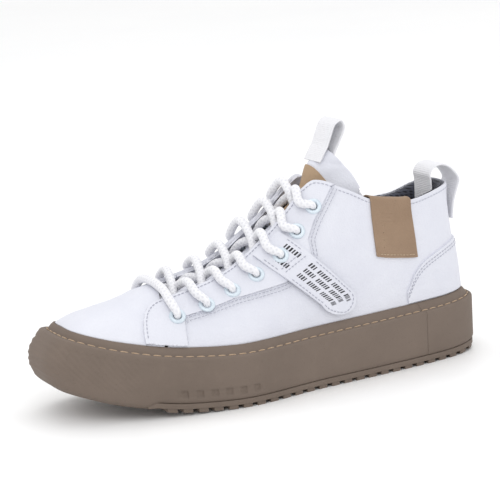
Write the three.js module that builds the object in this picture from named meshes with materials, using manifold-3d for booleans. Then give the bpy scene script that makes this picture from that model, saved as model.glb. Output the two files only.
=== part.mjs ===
// A left mid-high leather shoe with a thick cupsole, a laced front, a lateral strap and two pull loops.
// Millimetres, +Z up. The toe points to -X, the heel to +X. The outer (lateral) side of the foot is -Y,
// the inner (medial) side +Y. The origin lies on the ground under the middle of the shoe.
import * as THREE from "three";
import { mergeVertices } from "three/addons/utils/BufferGeometryUtils.js";
import Module from "manifold-3d";

const wasm = await Module();
wasm.setup();

// ---- Driving dimensions ----
const SOLE_LENGTH = 304;
const HEEL_HALF_WIDTH = 41.3;
const BALL_HALF_WIDTH = 54; // lateral side, measured from the centre line
const WALL_HEIGHT = 33; // lower edge of the cup wall to the bead, at the ball
const UPPER_HEIGHT_SCALE = 1; // height of the upper above the feather line
const GAP = 0.3; // clearance between pieces that touch
const LEDGE = 7.8; // outer wall to feather line, seen from above
const TOE_WIDENING = 1.75; // how much wider that ledge is at the tip of the toe
const TOE_LEAN = 10; // how far the toe bumper stands out in front of its own top bead
const RAND_RISE = 6.2; // bead to feather line
const LUG_HEIGHT = 2.5;
const LUG_PITCH = 9.7;
const LUG_LENGTH = 5.8; // along the shoe
const TREAD_PLATE = 3;
const BOARD_THICKNESS = 2;
const FOOTBED_THICKNESS = 5;
const LASTING_MARGIN = 9; // depth that the upper reaches into the cup
const LEATHER = 1.4;
const OVERLAY = 1.3;
const STRAP_THICKNESS = 1.4;
const PAD_THICKNESS = 0.45; // each half of the hook-and-loop pair
const FOAM = 4;
const LINING = 0.8;
const COUNTER = 1.5;
const PUFF = 0.8;
const LACE_RADIUS = 2.4;
const LACE_RADIUS_IN_HOLE = 1.8;
const LACE_SIDES = 6;
const BARREL_RADIUS = 3;
const BARREL_WALL = 0.6;
const FLANGE_RADIUS = 5.3;
const FLANGE_HEIGHT = 1;
const WEBBING_WIDTH = 22;
const WEBBING_THICKNESS = 1.6;
const STITCH_RADIUS = 0.7;

// ---- Small maths ----
const clamp = (v, low, high) => Math.min(high, Math.max(low, v));
const mix = (a, b, t) => a + (b - a) * t;
const ease = (t) => t * t * (3 - 2 * t);
const step = (low, high, v) => ease(clamp((v - low) / (high - low), 0, 1));

// A monotone cubic curve through [input, output] pairs, held level beyond both ends.
function curveThrough(points) {
  const xs = points.map((p) => p[0]);
  const ys = points.map((p) => p[1]);
  const last = xs.length - 1;
  const widths = xs.slice(1).map((x, i) => x - xs[i]);
  const slopes = widths.map((w, i) => (ys[i + 1] - ys[i]) / w);
  const tangents = xs.map((_, i) => {
    if (i === 0) return slopes[0];
    if (i === last) return slopes[last - 1];
    if (slopes[i - 1] * slopes[i] <= 0) return 0;
    const a = 2 * widths[i] + widths[i - 1];
    const b = widths[i] + 2 * widths[i - 1];
    return (a + b) / (a / slopes[i - 1] + b / slopes[i]);
  });
  return (input) => {
    const v = clamp(input, xs[0], xs[last]);
    let i = 0;
    while (i < last - 1 && v >= xs[i + 1]) i += 1;
    const t = (v - xs[i]) / widths[i];
    const rise = widths[i] * (tangents[i] * t * (1 - t) ** 2 - tangents[i + 1] * t * t * (1 - t));
    return mix(ys[i], ys[i + 1], ease(t)) + rise;
  };
}

// ---- The sole's shape: outline from above, toe spring and bead height ----
const SOLE_HALF = SOLE_LENGTH / 2;
const UPPER_HALF = SOLE_HALF - LEDGE; // reach of the feather line behind the middle
const UPPER_FRONT = SOLE_HALF - LEDGE * TOE_WIDENING; // and in front of it
const heelToToe = (x) => (SOLE_HALF - x) / SOLE_LENGTH; // 0 at the heel, 1 at the toe

const LATERAL = -1;
const MEDIAL = 1;
const widthScale = BALL_HALF_WIDTH / 54;
const outlineHalf = {
  [LATERAL]: curveThrough([
    [0, HEEL_HALF_WIDTH],
    [0.15, HEEL_HALF_WIDTH],
    [0.42, 44 * widthScale],
    [0.65, BALL_HALF_WIDTH],
    [0.82, 52.1 * widthScale],
    [1, 46.4 * widthScale],
  ]),
  [MEDIAL]: curveThrough([
    [0, HEEL_HALF_WIDTH],
    [0.15, HEEL_HALF_WIDTH],
    [0.42, 40 * widthScale],
    [0.68, 50 * widthScale],
    [0.82, 51.7 * widthScale],
    [1, 46.8 * widthScale],
  ]),
};
const liftAlong = curveThrough([
  [0, 1.93],
  [0.1, 0],
  [0.6, 0],
  [0.75, 2.06],
  [0.88, 8.85],
  [1, 19.9],
]);
const beadAlong = curveThrough([
  [0, 3.5],
  [0.3, 1.9],
  [0.6, 0.6],
  [0.8, 2.8],
  [1, 6.35],
]);
const soleLift = (x) => liftAlong(heelToToe(x));
const beadHeight = (x) => WALL_HEIGHT + beadAlong(heelToToe(x)) + 0.8 * soleLift(x);
const featherHeight = (x) => beadHeight(x) + RAND_RISE;
const toeShift = (x) => 8.87 * clamp((heelToToe(x) - 0.55) / 0.45, 0, 1) ** 2;

// The outline bends inwards at the toe, so the two sides are unlike: this centres the whole box on Y.
function sideReach(side) {
  let reach = 0;
  for (let i = 0; i <= 400; i += 1) {
    const angle = (Math.PI * i) / 400;
    const x = SOLE_HALF * Math.cos(angle);
    const half = outlineHalf[side](heelToToe(x)) * Math.sqrt(Math.sin(angle));
    reach = Math.max(reach, half + side * toeShift(x));
  }
  return reach;
}
const CENTRING = (sideReach(LATERAL) - sideReach(MEDIAL)) / 2;
const outlineCentre = (x) => toeShift(x) + CENTRING;

// How far the outline reaches along X when it is drawn in by inset: the ledge is wider at the toe.
function outlineReach(inset, atToe) {
  const ledge = clamp(inset, 0, LEDGE);
  return SOLE_HALF - inset - (atToe ? ledge * (TOE_WIDENING - 1) : 0);
}

// A point of the sole's outline, drawn in by inset. The angle runs from the heel (0) round to the toe.
function outlinePoint(angle, inset, height) {
  const x = outlineReach(inset, Math.cos(angle) < 0) * Math.cos(angle);
  const side = Math.sin(angle) >= 0 ? LATERAL : MEDIAL;
  const half = outlineHalf[side](heelToToe(x)) - inset;
  const y = outlineCentre(x) + side * half * Math.sqrt(Math.abs(Math.sin(angle)));
  return new THREE.Vector3(x, y, height(x));
}

// ---- The upper's outside surface, as the half width at each place of the side view ----
const above = (x, rise) => featherHeight(x) + rise * UPPER_HEIGHT_SCALE;
const ridgeHeight = curveThrough([
  [-UPPER_FRONT, above(-UPPER_FRONT, 0.2)],
  [-134, above(-134, 4.8)],
  [-128, above(-128, 9.4)],
  [-118, above(-118, 14.4)],
  [-102, above(-102, 21)],
  [-77, above(-77, 31.7)],
  [-60, above(-60, 37.1)],
  [-38, above(-38, 43.3)],
  [-25, above(-25, 49.1)],
  [5, above(5, 69.5)],
  [21, above(21, 81.7)],
  [35, above(35, 93.9)],
  [46, above(46, 103.7)],
  [56, above(56, 115)],
  [66, above(66, 134)],
]);
const ridgeOffset = curveThrough([
  [-130, 0],
  [-80, 3],
  [-30, 4.5],
  [20, 4.5],
  [60, 2],
  [90, 0],
]);
const archPower = curveThrough([
  [-144, 1.3],
  [-100, 1.25],
  [-40, 1.4],
  [0, 1.8],
  [30, 2.4],
]);
const BACK = featherHeight(UPPER_HALF);
const heelReach = curveThrough([
  [BACK, UPPER_HALF],
  [BACK + 15, UPPER_HALF - 1.7],
  [BACK + 30, UPPER_HALF - 3.7],
  [BACK + 47, UPPER_HALF - 5.7],
  [BACK + 60, UPPER_HALF - 6.9],
  [BACK + 75, UPPER_HALF - 6.2],
]);
const centreLine = (x) => outlineCentre(x) + ridgeOffset(x);
const endReach = (x, z) => (x > 0 ? heelReach(z) : UPPER_FRONT);
const endFactor = (x, z) => Math.sqrt(Math.sqrt(clamp(1 - (x / endReach(x, z)) ** 2, 0, 1)));
const lowHalf = (x, side) => outlineHalf[side](heelToToe(x)) - LEDGE;
const fullHalf = (x, z, side) => lowHalf(x, side) * endFactor(x, z) - side * ridgeOffset(x);
const archFraction = (x, z) => {
  const base = featherHeight(x);
  return clamp((z - base) / (ridgeHeight(x) - base), 0, 1) ** archPower(x);
};
const halfWidth = (x, z, side) =>
  fullHalf(x, z, side) * Math.sqrt(Math.max(0, 1 - archFraction(x, z)));

// The height of the surface above a place in plan, on the front of the shoe.
function heightAt(x, y) {
  const side = y < centreLine(x) ? LATERAL : MEDIAL;
  let z = featherHeight(x);
  for (let i = 0; i < 4; i += 1) {
    const share = clamp(Math.abs(y - centreLine(x)) / fullHalf(x, z, side), 0, 1);
    const base = featherHeight(x);
    z = base + (ridgeHeight(x) - base) * (1 - share * share) ** (1 / archPower(x));
  }
  return z;
}

// Zero on the surface and positive outside it. Two forms, because each is smooth at one end only.
const HEEL_FORM_FROM = 75;
function outside(x, y, z) {
  const side = y < centreLine(x) ? LATERAL : MEDIAL;
  const across = (y - centreLine(x)) ** 2;
  const open = Math.max(1e-6, 1 - archFraction(x, z));
  if (x > HEEL_FORM_FROM) {
    return (x / endReach(x, z)) ** 2 - 1 + (across / (lowHalf(x, side) ** 2 * open)) ** 2;
  }
  return (across - fullHalf(x, z, side) ** 2 * open) / 1000;
}
function surfaceNormal(p) {
  const d = 0.02;
  return new THREE.Vector3(
    outside(p.x + d, p.y, p.z) - outside(p.x - d, p.y, p.z),
    outside(p.x, p.y + d, p.z) - outside(p.x, p.y - d, p.z),
    outside(p.x, p.y, p.z + d) - outside(p.x, p.y, p.z - d),
  ).normalize();
}
const raised = (p, offset) => p.clone().addScaledVector(surfaceNormal(p), offset);

// Side-view coordinates: reach is x, except that behind the middle UPPER_HALF is always the heel line.
function sidePoint(side, reach, z) {
  const x = reach > 0 ? (reach * heelReach(z)) / UPPER_HALF : reach;
  return new THREE.Vector3(x, centreLine(x) + side * halfWidth(x, z, side), z);
}
const reachOf = (x, z) => (x > 0 ? (x * UPPER_HALF) / heelReach(z) : x);
const planPoint = (x, y) => new THREE.Vector3(x, y, heightAt(x, y));

// ---- Solids from grids of points ----
function solidFrom(points, faces) {
  const volume = faces.reduce((sum, [a, b, c]) => {
    const cross = new THREE.Vector3().crossVectors(points[b], points[c]);
    return sum + points[a].dot(cross);
  }, 0);
  const outward = volume < 0 ? faces.map(([a, b, c]) => [a, c, b]) : faces;
  const geometry = new THREE.BufferGeometry().setFromPoints(points);
  geometry.setIndex(outward.flat());
  return mergeVertices(geometry, 1e-3);
}

// A shell between two grids with the same number of rows and columns. With a seam, the last row runs
// out along a line and back on itself, so it has no wall.
function shellBetween(outer, inner, seam = false) {
  const rows = outer.length;
  const columns = outer[0].length;
  const points = [...outer.flat(), ...inner.flat()];
  const half = rows * columns;
  const at = (layer, r, c) => layer * half + r * columns + c;
  const faces = [];
  const quad = (a, b, c, d) => faces.push([a, b, c], [a, c, d]);
  for (let r = 0; r < rows - 1; r += 1) {
    for (let c = 0; c < columns - 1; c += 1) {
      quad(at(0, r, c), at(0, r, c + 1), at(0, r + 1, c + 1), at(0, r + 1, c));
      quad(at(1, r, c), at(1, r + 1, c), at(1, r + 1, c + 1), at(1, r, c + 1));
    }
  }
  for (let c = 0; c < columns - 1; c += 1) {
    quad(at(0, 0, c), at(1, 0, c), at(1, 0, c + 1), at(0, 0, c + 1));
    if (seam) continue;
    quad(at(0, rows - 1, c), at(0, rows - 1, c + 1), at(1, rows - 1, c + 1), at(1, rows - 1, c));
  }
  for (let r = 0; r < rows - 1; r += 1) {
    quad(at(0, r, 0), at(0, r + 1, 0), at(1, r + 1, 0), at(1, r, 0));
    const last = columns - 1;
    quad(at(0, r, last), at(1, r, last), at(1, r + 1, last), at(0, r + 1, last));
  }
  return solidFrom(points, faces);
}
const grid = (rows, columns, place) =>
  Array.from({ length: rows + 1 }, (_, r) =>
    Array.from({ length: columns + 1 }, (__, c) => place(c / columns, r / rows)),
  );
const distance = (offset, p) => (typeof offset === "function" ? offset(p) : offset);

// A panel of the upper: a grid on the surface, thickened from one offset to another.
function panel(rows, columns, place, outer, inner, seam = false) {
  const base = grid(rows, columns, place);
  const layer = (offset) => base.map((row) => row.map((p) => raised(p, distance(offset, p))));
  return shellBetween(layer(outer), layer(inner), seam);
}

// A flat-topped plate across the sole between two heights.
function plateAcross(inset, low, high, sections, from = 0, to = Math.PI) {
  const top = [];
  const bottom = [];
  for (let i = 0; i <= sections; i += 1) {
    const angle = clamp(mix(from, to, i / sections), 0.02, Math.PI - 0.02);
    const across = [angle, -angle];
    top.push(across.map((a) => outlinePoint(a, inset, high)));
    bottom.push(across.map((a) => outlinePoint(a, inset, low)));
  }
  return shellBetween(top, bottom);
}

// A section swept along a path of centres. Each frame gives the two directions of its section.
function sweep(frames, section) {
  const rings = frames.map(({ centre, across, up, scale = 1 }) =>
    section.map(([a, b]) =>
      centre.clone().addScaledVector(across, a * scale).addScaledVector(up, b * scale),
    ),
  );
  const sides = section.length;
  const points = rings.flat();
  const faces = [];
  for (let r = 0; r < rings.length - 1; r += 1) {
    for (let c = 0; c < sides; c += 1) {
      const a = r * sides + c;
      const b = r * sides + ((c + 1) % sides);
      faces.push([a, b, b + sides], [a, b + sides, a + sides]);
    }
  }
  const lastRing = (rings.length - 1) * sides;
  for (let c = 1; c < sides - 1; c += 1) {
    faces.push([0, c + 1, c], [lastRing, lastRing + c, lastRing + c + 1]);
  }
  return solidFrom(points, faces);
}
const circle = (radius, sides) =>
  Array.from({ length: sides }, (_, i) => {
    const angle = (2 * Math.PI * i) / sides;
    return [radius * Math.cos(angle), radius * Math.sin(angle)];
  });

// ---- Booleans ----
function toManifold(geometry) {
  const plain = new THREE.BufferGeometry();
  plain.setAttribute("position", geometry.getAttribute("position"));
  if (geometry.index) plain.setIndex(geometry.index);
  const merged = mergeVertices(plain, 1e-3);
  return new wasm.Manifold(
    new wasm.Mesh({
      numProp: 3,
      vertProperties: new Float32Array(merged.attributes.position.array),
      triVerts: new Uint32Array(merged.index.array),
    }),
  );
}
function toGeometry(manifold) {
  const mesh = manifold.getMesh();
  const geometry = new THREE.BufferGeometry();
  geometry.setAttribute("position", new THREE.BufferAttribute(mesh.vertProperties, 3));
  geometry.setIndex(new THREE.BufferAttribute(mesh.triVerts, 1));
  return geometry;
}
const cut = (geometry, tools) =>
  toGeometry(toManifold(geometry).subtract(wasm.Manifold.union(tools.map(toManifold))));
const join = (geometries) => toGeometry(wasm.Manifold.union(geometries.map(toManifold)));

// ---- Materials ----
const material = (color, roughness, metalness = 0) =>
  new THREE.MeshStandardMaterial({ color, roughness, metalness });
const WHITE_LEATHER = material(0xe6e6ee, 0.45);
const TAN_LEATHER = material(0x9a8069, 0.6);
const SOLE_RUBBER = material(0x75675b, 0.7);
const DARK_MESH = material(0x34343e, 0.9);
const FOAM_WHITE = material(0xd8d8d2, 0.9);
const BOARD = material(0xb9a98c, 0.9);
const STIFFENER = material(0xc9c2b4, 0.8);
const THREAD = material(0xc9a985, 0.8);
const LACE_WHITE = material(0xf2f2f5, 0.8);
const WEBBING = material(0xeeeeef, 0.8);
const EYELET_METAL = material(0xd5e2ec, 0.3, 0.7);
const AGLET_PLASTIC = material(0xf0f0f0, 0.3);
const HOOK_AND_LOOP = material(0xd9d9dd, 0.95);

const shoe = new THREE.Group();
function add(name, geometry, look) {
  const mesh = new THREE.Mesh(geometry, look);
  mesh.name = name;
  shoe.add(mesh);
}

// ---- Sole unit ----
const FIRST_LUG_X = -97; // the sole is smooth under the toe, in front of the first lug
const TOE_PLATE_DROP = 1.3; // where it also comes down a little
const toePlate = (x) => TOE_PLATE_DROP * step(-FIRST_LUG_X, -FIRST_LUG_X + 8, -x);
const treadLow = (x) => soleLift(x) + LUG_HEIGHT - toePlate(x);
const treadHigh = (x) => soleLift(x) + LUG_HEIGHT + TREAD_PLATE;
const LUG_ROOT = 0.5; // depth of each lug's root in the tread plate
function treadOutsole() {
  const plate = plateAcross(0.6, treadLow, treadHigh, 28);
  const inset = 1.4;
  const angleAt = (x) => Math.acos(x / outlineReach(inset, x < 0));
  const lugs = [];
  for (let x = SOLE_HALF - inset - LUG_LENGTH / 2 - 3; x > FIRST_LUG_X; x -= LUG_PITCH) {
    const from = angleAt(x + LUG_LENGTH / 2);
    const to = angleAt(x - LUG_LENGTH / 2);
    lugs.push(plateAcross(inset, soleLift, (at) => treadLow(at) + LUG_ROOT, 1, from, to));
  }
  return join([plate, ...lugs]);
}

// The cup wall's section from the foot of its outside, over bead, stitch groove and lip, to its inside:
// inset, height, and the share of the toe's lean by which it stands out there.
const WALL_FOOT = GAP; // above the tread plate
const upTheWall = (share) => (x) => mix(treadHigh(x) + WALL_FOOT, beadHeight(x), share);
const wallSection = [
  [0.9, upTheWall(0), 0],
  [0, upTheWall(0.1), 0.28],
  [0, upTheWall(0.3), 0.5],
  [0, upTheWall(0.5), 0.48],
  [0, upTheWall(0.75), 0.15],
  [0, (x) => beadHeight(x) - 1.5, -0.38],
  [0.8, (x) => beadHeight(x) + 0.2, -0.5],
  [3, (x) => beadHeight(x) + 0.2 * RAND_RISE, -0.38],
  [5, (x) => beadHeight(x) + 0.6 * RAND_RISE, -0.24],
  [LEDGE - GAP, featherHeight, 0],
  [LEDGE - GAP, upTheWall(0), 0],
];
const toeLean = (angle) => TOE_LEAN * Math.max(0, -Math.cos(angle)) ** 3;
function wallPoint(angle, inset, height, share) {
  const place = outlinePoint(angle, inset, height);
  place.x -= share * toeLean(angle);
  return place.setZ(height(place.x));
}
function wallRing(from, to, columns) {
  const rings = Array.from({ length: columns + 1 }, (_, i) => {
    const angle = mix(from, to, i / columns);
    return wallSection.map(([inset, height, share]) => wallPoint(angle, inset, height, share));
  });
  const sides = wallSection.length;
  const points = rings.flat();
  const faces = [];
  for (let r = 0; r < columns; r += 1) {
    for (let c = 0; c < sides; c += 1) {
      const a = r * sides + c;
      const b = r * sides + ((c + 1) % sides);
      faces.push([a, b, b + sides], [a, b + sides, a + sides]);
    }
  }
  const flat = wallSection.map(([inset, height]) => new THREE.Vector2(inset, height(0)));
  THREE.ShapeUtils.triangulateShape(flat, []).forEach(([a, b, c]) => {
    const end = columns * sides;
    const turned = THREE.ShapeUtils.isClockWise(flat);
    faces.push(turned ? [a, b, c] : [a, c, b]);
    faces.push(turned ? [end + a, end + c, end + b] : [end + a, end + b, end + c]);
  });
  return solidFrom(points, faces);
}
const BUMPER_SEAM_X = 103;
const SEAM_ANGLE = Math.acos(BUMPER_SEAM_X / SOLE_HALF);
const SEAM_GAP_ANGLE = (2 * GAP) / BUMPER_SEAM_X;

const coreHigh = (x) => featherHeight(x) - LASTING_MARGIN - GAP;
const boardHigh = (x) => coreHigh(x) + GAP + BOARD_THICKNESS;
const footbedHigh = (x) => boardHigh(x) + GAP + FOOTBED_THICKNESS;
const INSIDE_EASE = 2.6; // the upper leans in above the feather line
const INSIDE_INSET = LEDGE + LEATHER + COUNTER + LINING + 4 * GAP + INSIDE_EASE;

function randStitching() {
  const inset = 3.25;
  const share = -0.36; // of the toe's lean, on this part of the lip
  const height = (x) => beadHeight(x) + 0.5 * RAND_RISE;
  const columns = 66;
  const section = circle(STITCH_RADIUS, 4);
  const ring = (c) => {
    const angle = (2 * Math.PI * c) / columns;
    const centre = wallPoint(angle, inset, height, share);
    const out = wallPoint(angle, inset - 1, height, share).sub(centre).setZ(0).normalize();
    return section.map(([a, b]) => centre.clone().addScaledVector(out, a).add(new THREE.Vector3(0, 0, b)));
  };
  const rings = Array.from({ length: columns }, (_, c) => ring(c));
  const sides = section.length;
  const faces = [];
  for (let c = 0; c < columns; c += 1) {
    for (let s = 0; s < sides; s += 1) {
      const a = c * sides + s;
      const b = c * sides + ((s + 1) % sides);
      const next = ((c + 1) % columns) * sides;
      faces.push([a, b, next + ((s + 1) % sides)], [a, next + ((s + 1) % sides), next + s]);
    }
  }
  return solidFrom(rings.flat(), faces);
}

add("tread_outsole", treadOutsole(), SOLE_RUBBER);
add("cup_sidewall", wallRing(SEAM_ANGLE, 2 * Math.PI - SEAM_ANGLE, 50), SOLE_RUBBER);
add("heel_bumper", wallRing(-SEAM_ANGLE + SEAM_GAP_ANGLE, SEAM_ANGLE - SEAM_GAP_ANGLE, 18), SOLE_RUBBER);
add("midsole_core", plateAcross(LEDGE, (x) => treadHigh(x) + GAP, coreHigh, 26), FOAM_WHITE);
add("insole_board", plateAcross(INSIDE_INSET, (x) => coreHigh(x) + GAP, boardHigh, 24), BOARD);
add("footbed", plateAcross(INSIDE_INSET, (x) => boardHigh(x) + GAP, footbedHigh, 24), DARK_MESH);
add("rand_stitching", randStitching(), THREAD);

// ---- Vamp: columns run round the toe, rows from the feather line in to the ridge ----
const VAMP_BACK_LOW = -88; // where its back edge meets the sole
const VAMP_BACK_HIGH = -72; // where its back edge crosses the ridge
const VAMP_FAN = -124; // the columns round the toe meet the ridge behind here
const vampAngle = Math.acos(VAMP_BACK_LOW / UPPER_FRONT);
function vampPlace(c, inFromFeather) {
  const angle = mix(vampAngle, 2 * Math.PI - vampAngle, c);
  const foot = outlinePoint(angle, LEDGE, featherHeight);
  if (inFromFeather <= 0) return foot.setZ(foot.z + inFromFeather);
  const exact = mix(VAMP_BACK_HIGH, VAMP_FAN, (1 - Math.abs(2 * c - 1)) ** 0.8);
  const ridgeX = Math.round(exact * 100) / 100; // so that both sides meet in the very same points
  const share = inFromFeather ** 1.5;
  if (share === 1) return planPoint(ridgeX, centreLine(ridgeX));
  const x = mix(foot.x, ridgeX, share);
  return planPoint(x, mix(foot.y, centreLine(ridgeX), share));
}
function vampLayer(rows, columns, outer, inner, [from, to] = [0, 1], top = 1, bottom = LASTING_MARGIN) {
  const place = (c, r) => {
    const row = Math.round(r * rows);
    const inward = row === 0 ? -bottom : ((row - 1) / (rows - 1)) * top;
    return vampPlace(mix(from, to, c), inward);
  };
  return panel(rows, columns, place, outer, inner, top === 1);
}
const UNDER_LEATHER = -LEATHER - GAP;
const PUFF_TOP = UNDER_LEATHER - 3 * GAP;
const UNDER_PUFF = PUFF_TOP - PUFF - 5 * GAP;
add("vamp", vampLayer(8, 36, 0, -LEATHER), WHITE_LEATHER);
add("toe_puff", vampLayer(5, 24, PUFF_TOP, PUFF_TOP - PUFF, [0.2, 0.8], 0.7, 4), STIFFENER);
add("vamp_lining", vampLayer(6, 24, UNDER_PUFF, UNDER_PUFF - LINING), DARK_MESH);

// The medial side of the instep is narrower: a place across it scales with the half width.
const INSTEP_HEIGHT = 80; // where that scale is read
function planBeside(x, side, lateralDistance) {
  const scale = fullHalf(x, INSTEP_HEIGHT, side) / fullHalf(x, INSTEP_HEIGHT, LATERAL);
  return planPoint(x, centreLine(x) + side * lateralDistance * scale);
}

// ---- Topline and throat edge, shared by the panels that end there ----
const CORNER_REACH = 23.4; // where the topline turns down into the throat edge
const toplineRise = curveThrough([
  [CORNER_REACH, 78.9],
  [29.4, 83.6],
  [38.8, 88.6],
  [54.5, 82.8],
  [72.4, 73.9],
  [88, 70.5],
  [105, 68.2],
  [130, 71],
  [UPPER_HALF, 72.4],
]);
const MEDIAL_DIP = 4; // the medial collar is lower beside the ankle
function toplineHeight(side, reach) {
  const dip = side === MEDIAL ? MEDIAL_DIP * step(50, 85, reach) * (1 - step(115, 140, reach)) : 0;
  return above(reach, toplineRise(reach) - dip);
}
const THROAT_FRONT = -70;
const throatHalf = curveThrough([
  [THROAT_FRONT, 21],
  [-54, 21.5],
  [-35, 20],
  [-17, 18.5],
  [0, 17],
  [12, 15.5],
  [CORNER_REACH - 1.1, 14],
]);
function throatEdge(side, x) {
  const { z } = planBeside(x, side, throatHalf(x));
  return { reach: reachOf(x, z), z };
}

// ---- Quarters: columns from the heel line forwards, rows from the sole up ----
const QUARTER_FRONT = -86;
const TOPLINE_SHARE = 0.6; // share of the columns that end on the topline
const angleOf = (reach) => Math.acos(clamp(reach / UPPER_HALF, -1, 1));
const reachAt = (share, front) => UPPER_HALF * Math.cos(share * angleOf(front));
function quarterTop(side, c) {
  if (c <= TOPLINE_SHARE) {
    const reach = reachAt(c / TOPLINE_SHARE, CORNER_REACH);
    return { reach, z: toplineHeight(side, reach) };
  }
  const along = (c - TOPLINE_SHARE) / (1 - TOPLINE_SHARE);
  return throatEdge(side, mix(CORNER_REACH - 1.1, THROAT_FRONT, along));
}
const betweenEnds = (side, low, high, v) =>
  sidePoint(side, mix(low.reach, high.reach, v), mix(low.z, high.z, v));
const lowEnd = (reach, rise) => ({ reach, z: featherHeight(reach) + rise });
function quarter(side) {
  const rows = 8;
  const place = (c, r) => {
    const low = lowEnd(reachAt(c, QUARTER_FRONT), 0);
    if (r === 0) return betweenEnds(side, { reach: low.reach, z: low.z - LASTING_MARGIN }, low, 0);
    return betweenEnds(side, low, quarterTop(side, c), (r * rows - 1) / (rows - 1));
  };
  return panel(rows, 28, place, 0, -LEATHER);
}

// ---- Eyelets ----
const eyeletLine = curveThrough([
  [-74.8, 34],
  [-54.3, 34.2],
  [-35, 32.4],
  [-17, 31.2],
  [1, 30.4],
  [16, 26.8],
  [30, 24.3],
]);
const EYELET_X = [-74.8, -54.3, -35, -17, 1, 16, 30];
const STRAP_EYELET = 4; // the fifth pair is punched through the strap
const eyeletPlace = (side, row) => planBeside(EYELET_X[row], side, eyeletLine(EYELET_X[row]));
const STAY_TOP = GAP + OVERLAY;
const STRAP_LOW = STAY_TOP + 2 * GAP;
const STRAP_TOP = STRAP_LOW + STRAP_THICKNESS;
const stackTop = (row) => (row === STRAP_EYELET ? STRAP_TOP : STAY_TOP);
const turnTo = (normal) => new THREE.Quaternion().setFromUnitVectors(new THREE.Vector3(0, 1, 0), normal);
function standing(geometry, side, row) {
  const place = eyeletPlace(side, row);
  const matrix = new THREE.Matrix4().compose(place, turnTo(surfaceNormal(place)), new THREE.Vector3(1, 1, 1));
  return geometry.applyMatrix4(matrix);
}
const HOLE_SIDES = 8;
const holeTool = (side, row) =>
  standing(new THREE.CylinderGeometry(BARREL_RADIUS + GAP, BARREL_RADIUS + GAP, 16, HOLE_SIDES), side, row);
const holeTools = (side, rows) => rows.map((row) => holeTool(side, row));
const ALL_ROWS = EYELET_X.map((_, row) => row);
const UNDER_FLANGE = UNDER_LEATHER - 4 * GAP;
const FLANGE_ROLL = 0.6; // thickness of the rolled inner flange
function eyelet(side, row) {
  const under = UNDER_FLANGE;
  const over = stackTop(row) + GAP;
  const bore = BARREL_RADIUS - BARREL_WALL;
  const profile = [
    [bore, under - FLANGE_ROLL],
    [BARREL_RADIUS + 1.2, under - FLANGE_ROLL],
    [BARREL_RADIUS + 1.2, under],
    [BARREL_RADIUS, under],
    [BARREL_RADIUS, over],
    [FLANGE_RADIUS, over],
    [FLANGE_RADIUS - 0.8, over + FLANGE_HEIGHT],
    [bore, over + FLANGE_HEIGHT - 0.2],
    [bore, under - FLANGE_ROLL],
  ];
  const points = profile.map(([r, h]) => new THREE.Vector2(r, h));
  return standing(new THREE.LatheGeometry(points, HOLE_SIDES), side, row);
}

// ---- Eyestays: an overlay from the throat edge down to a foot on the sole ----
const STAY_FRONT = -99;
const STAY_FOOT_BACK = -74;
const polyline = (points) => (t) => {
  let i = 0;
  while (i < points.length - 2 && t > points[i + 1][0]) i += 1;
  const [t0, ...a] = points[i];
  const [t1, ...b] = points[i + 1];
  return a.map((value, k) => mix(value, b[k], clamp((t - t0) / (t1 - t0), 0, 1)));
};
const stayInner = polyline([
  [0, -77],
  [0.12, THROAT_FRONT],
  [0.22, -60],
  [0.6, -4],
  [0.8, CORNER_REACH - 1.1],
]);
const stayOuter = polyline([
  [0, STAY_FRONT, 0],
  [0.12, STAY_FOOT_BACK, 0],
  [0.22, STAY_FOOT_BACK, 15.5],
  [0.42, -36, 25],
  [0.6, 0, 30.5],
  [0.72, 21, 43],
  [0.78, 21, 54],
  [0.86, 28, 65],
  [0.94, 40, 79],
  [1, 45, 85],
]);
const STAY_TOP_REACH = 49;
function eyestay(side) {
  const clear = 2 * GAP; // above the lip of the cup wall
  const place = (c, r) => {
    const [x, rise] = stayOuter(c);
    const low = { reach: reachOf(x, above(x, rise)), z: above(x, rise) + clear };
    const edgeX = stayInner(c)[0];
    const topReach = mix(CORNER_REACH, STAY_TOP_REACH, clamp((c - 0.8) / 0.2, 0, 1));
    const high =
      c <= 0.8 ? throatEdge(side, edgeX) : { reach: topReach, z: toplineHeight(side, topReach) };
    const bow = clamp(1 - c / 0.12, 0, 1) * 4 * r * (1 - r);
    const reach = mix(low.reach, high.reach, r) - 5 * bow;
    return sidePoint(side, reach, mix(low.z, high.z, r) + 4 * bow);
  };
  return cut(panel(5, 30, place, STAY_TOP, GAP), holeTools(side, ALL_ROWS));
}

for (const [side, label] of [
  [LATERAL, "lateral"],
  [MEDIAL, "medial"],
]) {
  add("quarter_" + label, cut(quarter(side), holeTools(side, ALL_ROWS)), WHITE_LEATHER);
  add("eyestay_" + label, eyestay(side), WHITE_LEATHER);
  ALL_ROWS.forEach((row) => add(`eyelet_${label}_${row + 1}`, eyelet(side, row), EYELET_METAL));
}

// ---- Collar: counter, foam, lining, heel panel, tag ----
const COUNTER_TOP = 28; // above the feather line
const FOAM_BOTTOM = 51;
const COLLAR_FOAM_FRONT = 66;
const COUNTER_FRONT = 72;
const LINING_FRONT_LOW = -84;
const LINING_FRONT_HIGH = 64;
const FOAM_DEPTH = UNDER_LEATHER - FOAM - 2 * GAP;
const liningOuter = (p) => {
  const rise = (p.z - featherHeight(p.x)) / UPPER_HEIGHT_SCALE;
  return mix(UNDER_LEATHER - COUNTER - GAP, FOAM_DEPTH, step(COUNTER_TOP + 3, FOAM_BOTTOM - 3, rise));
};
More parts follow.
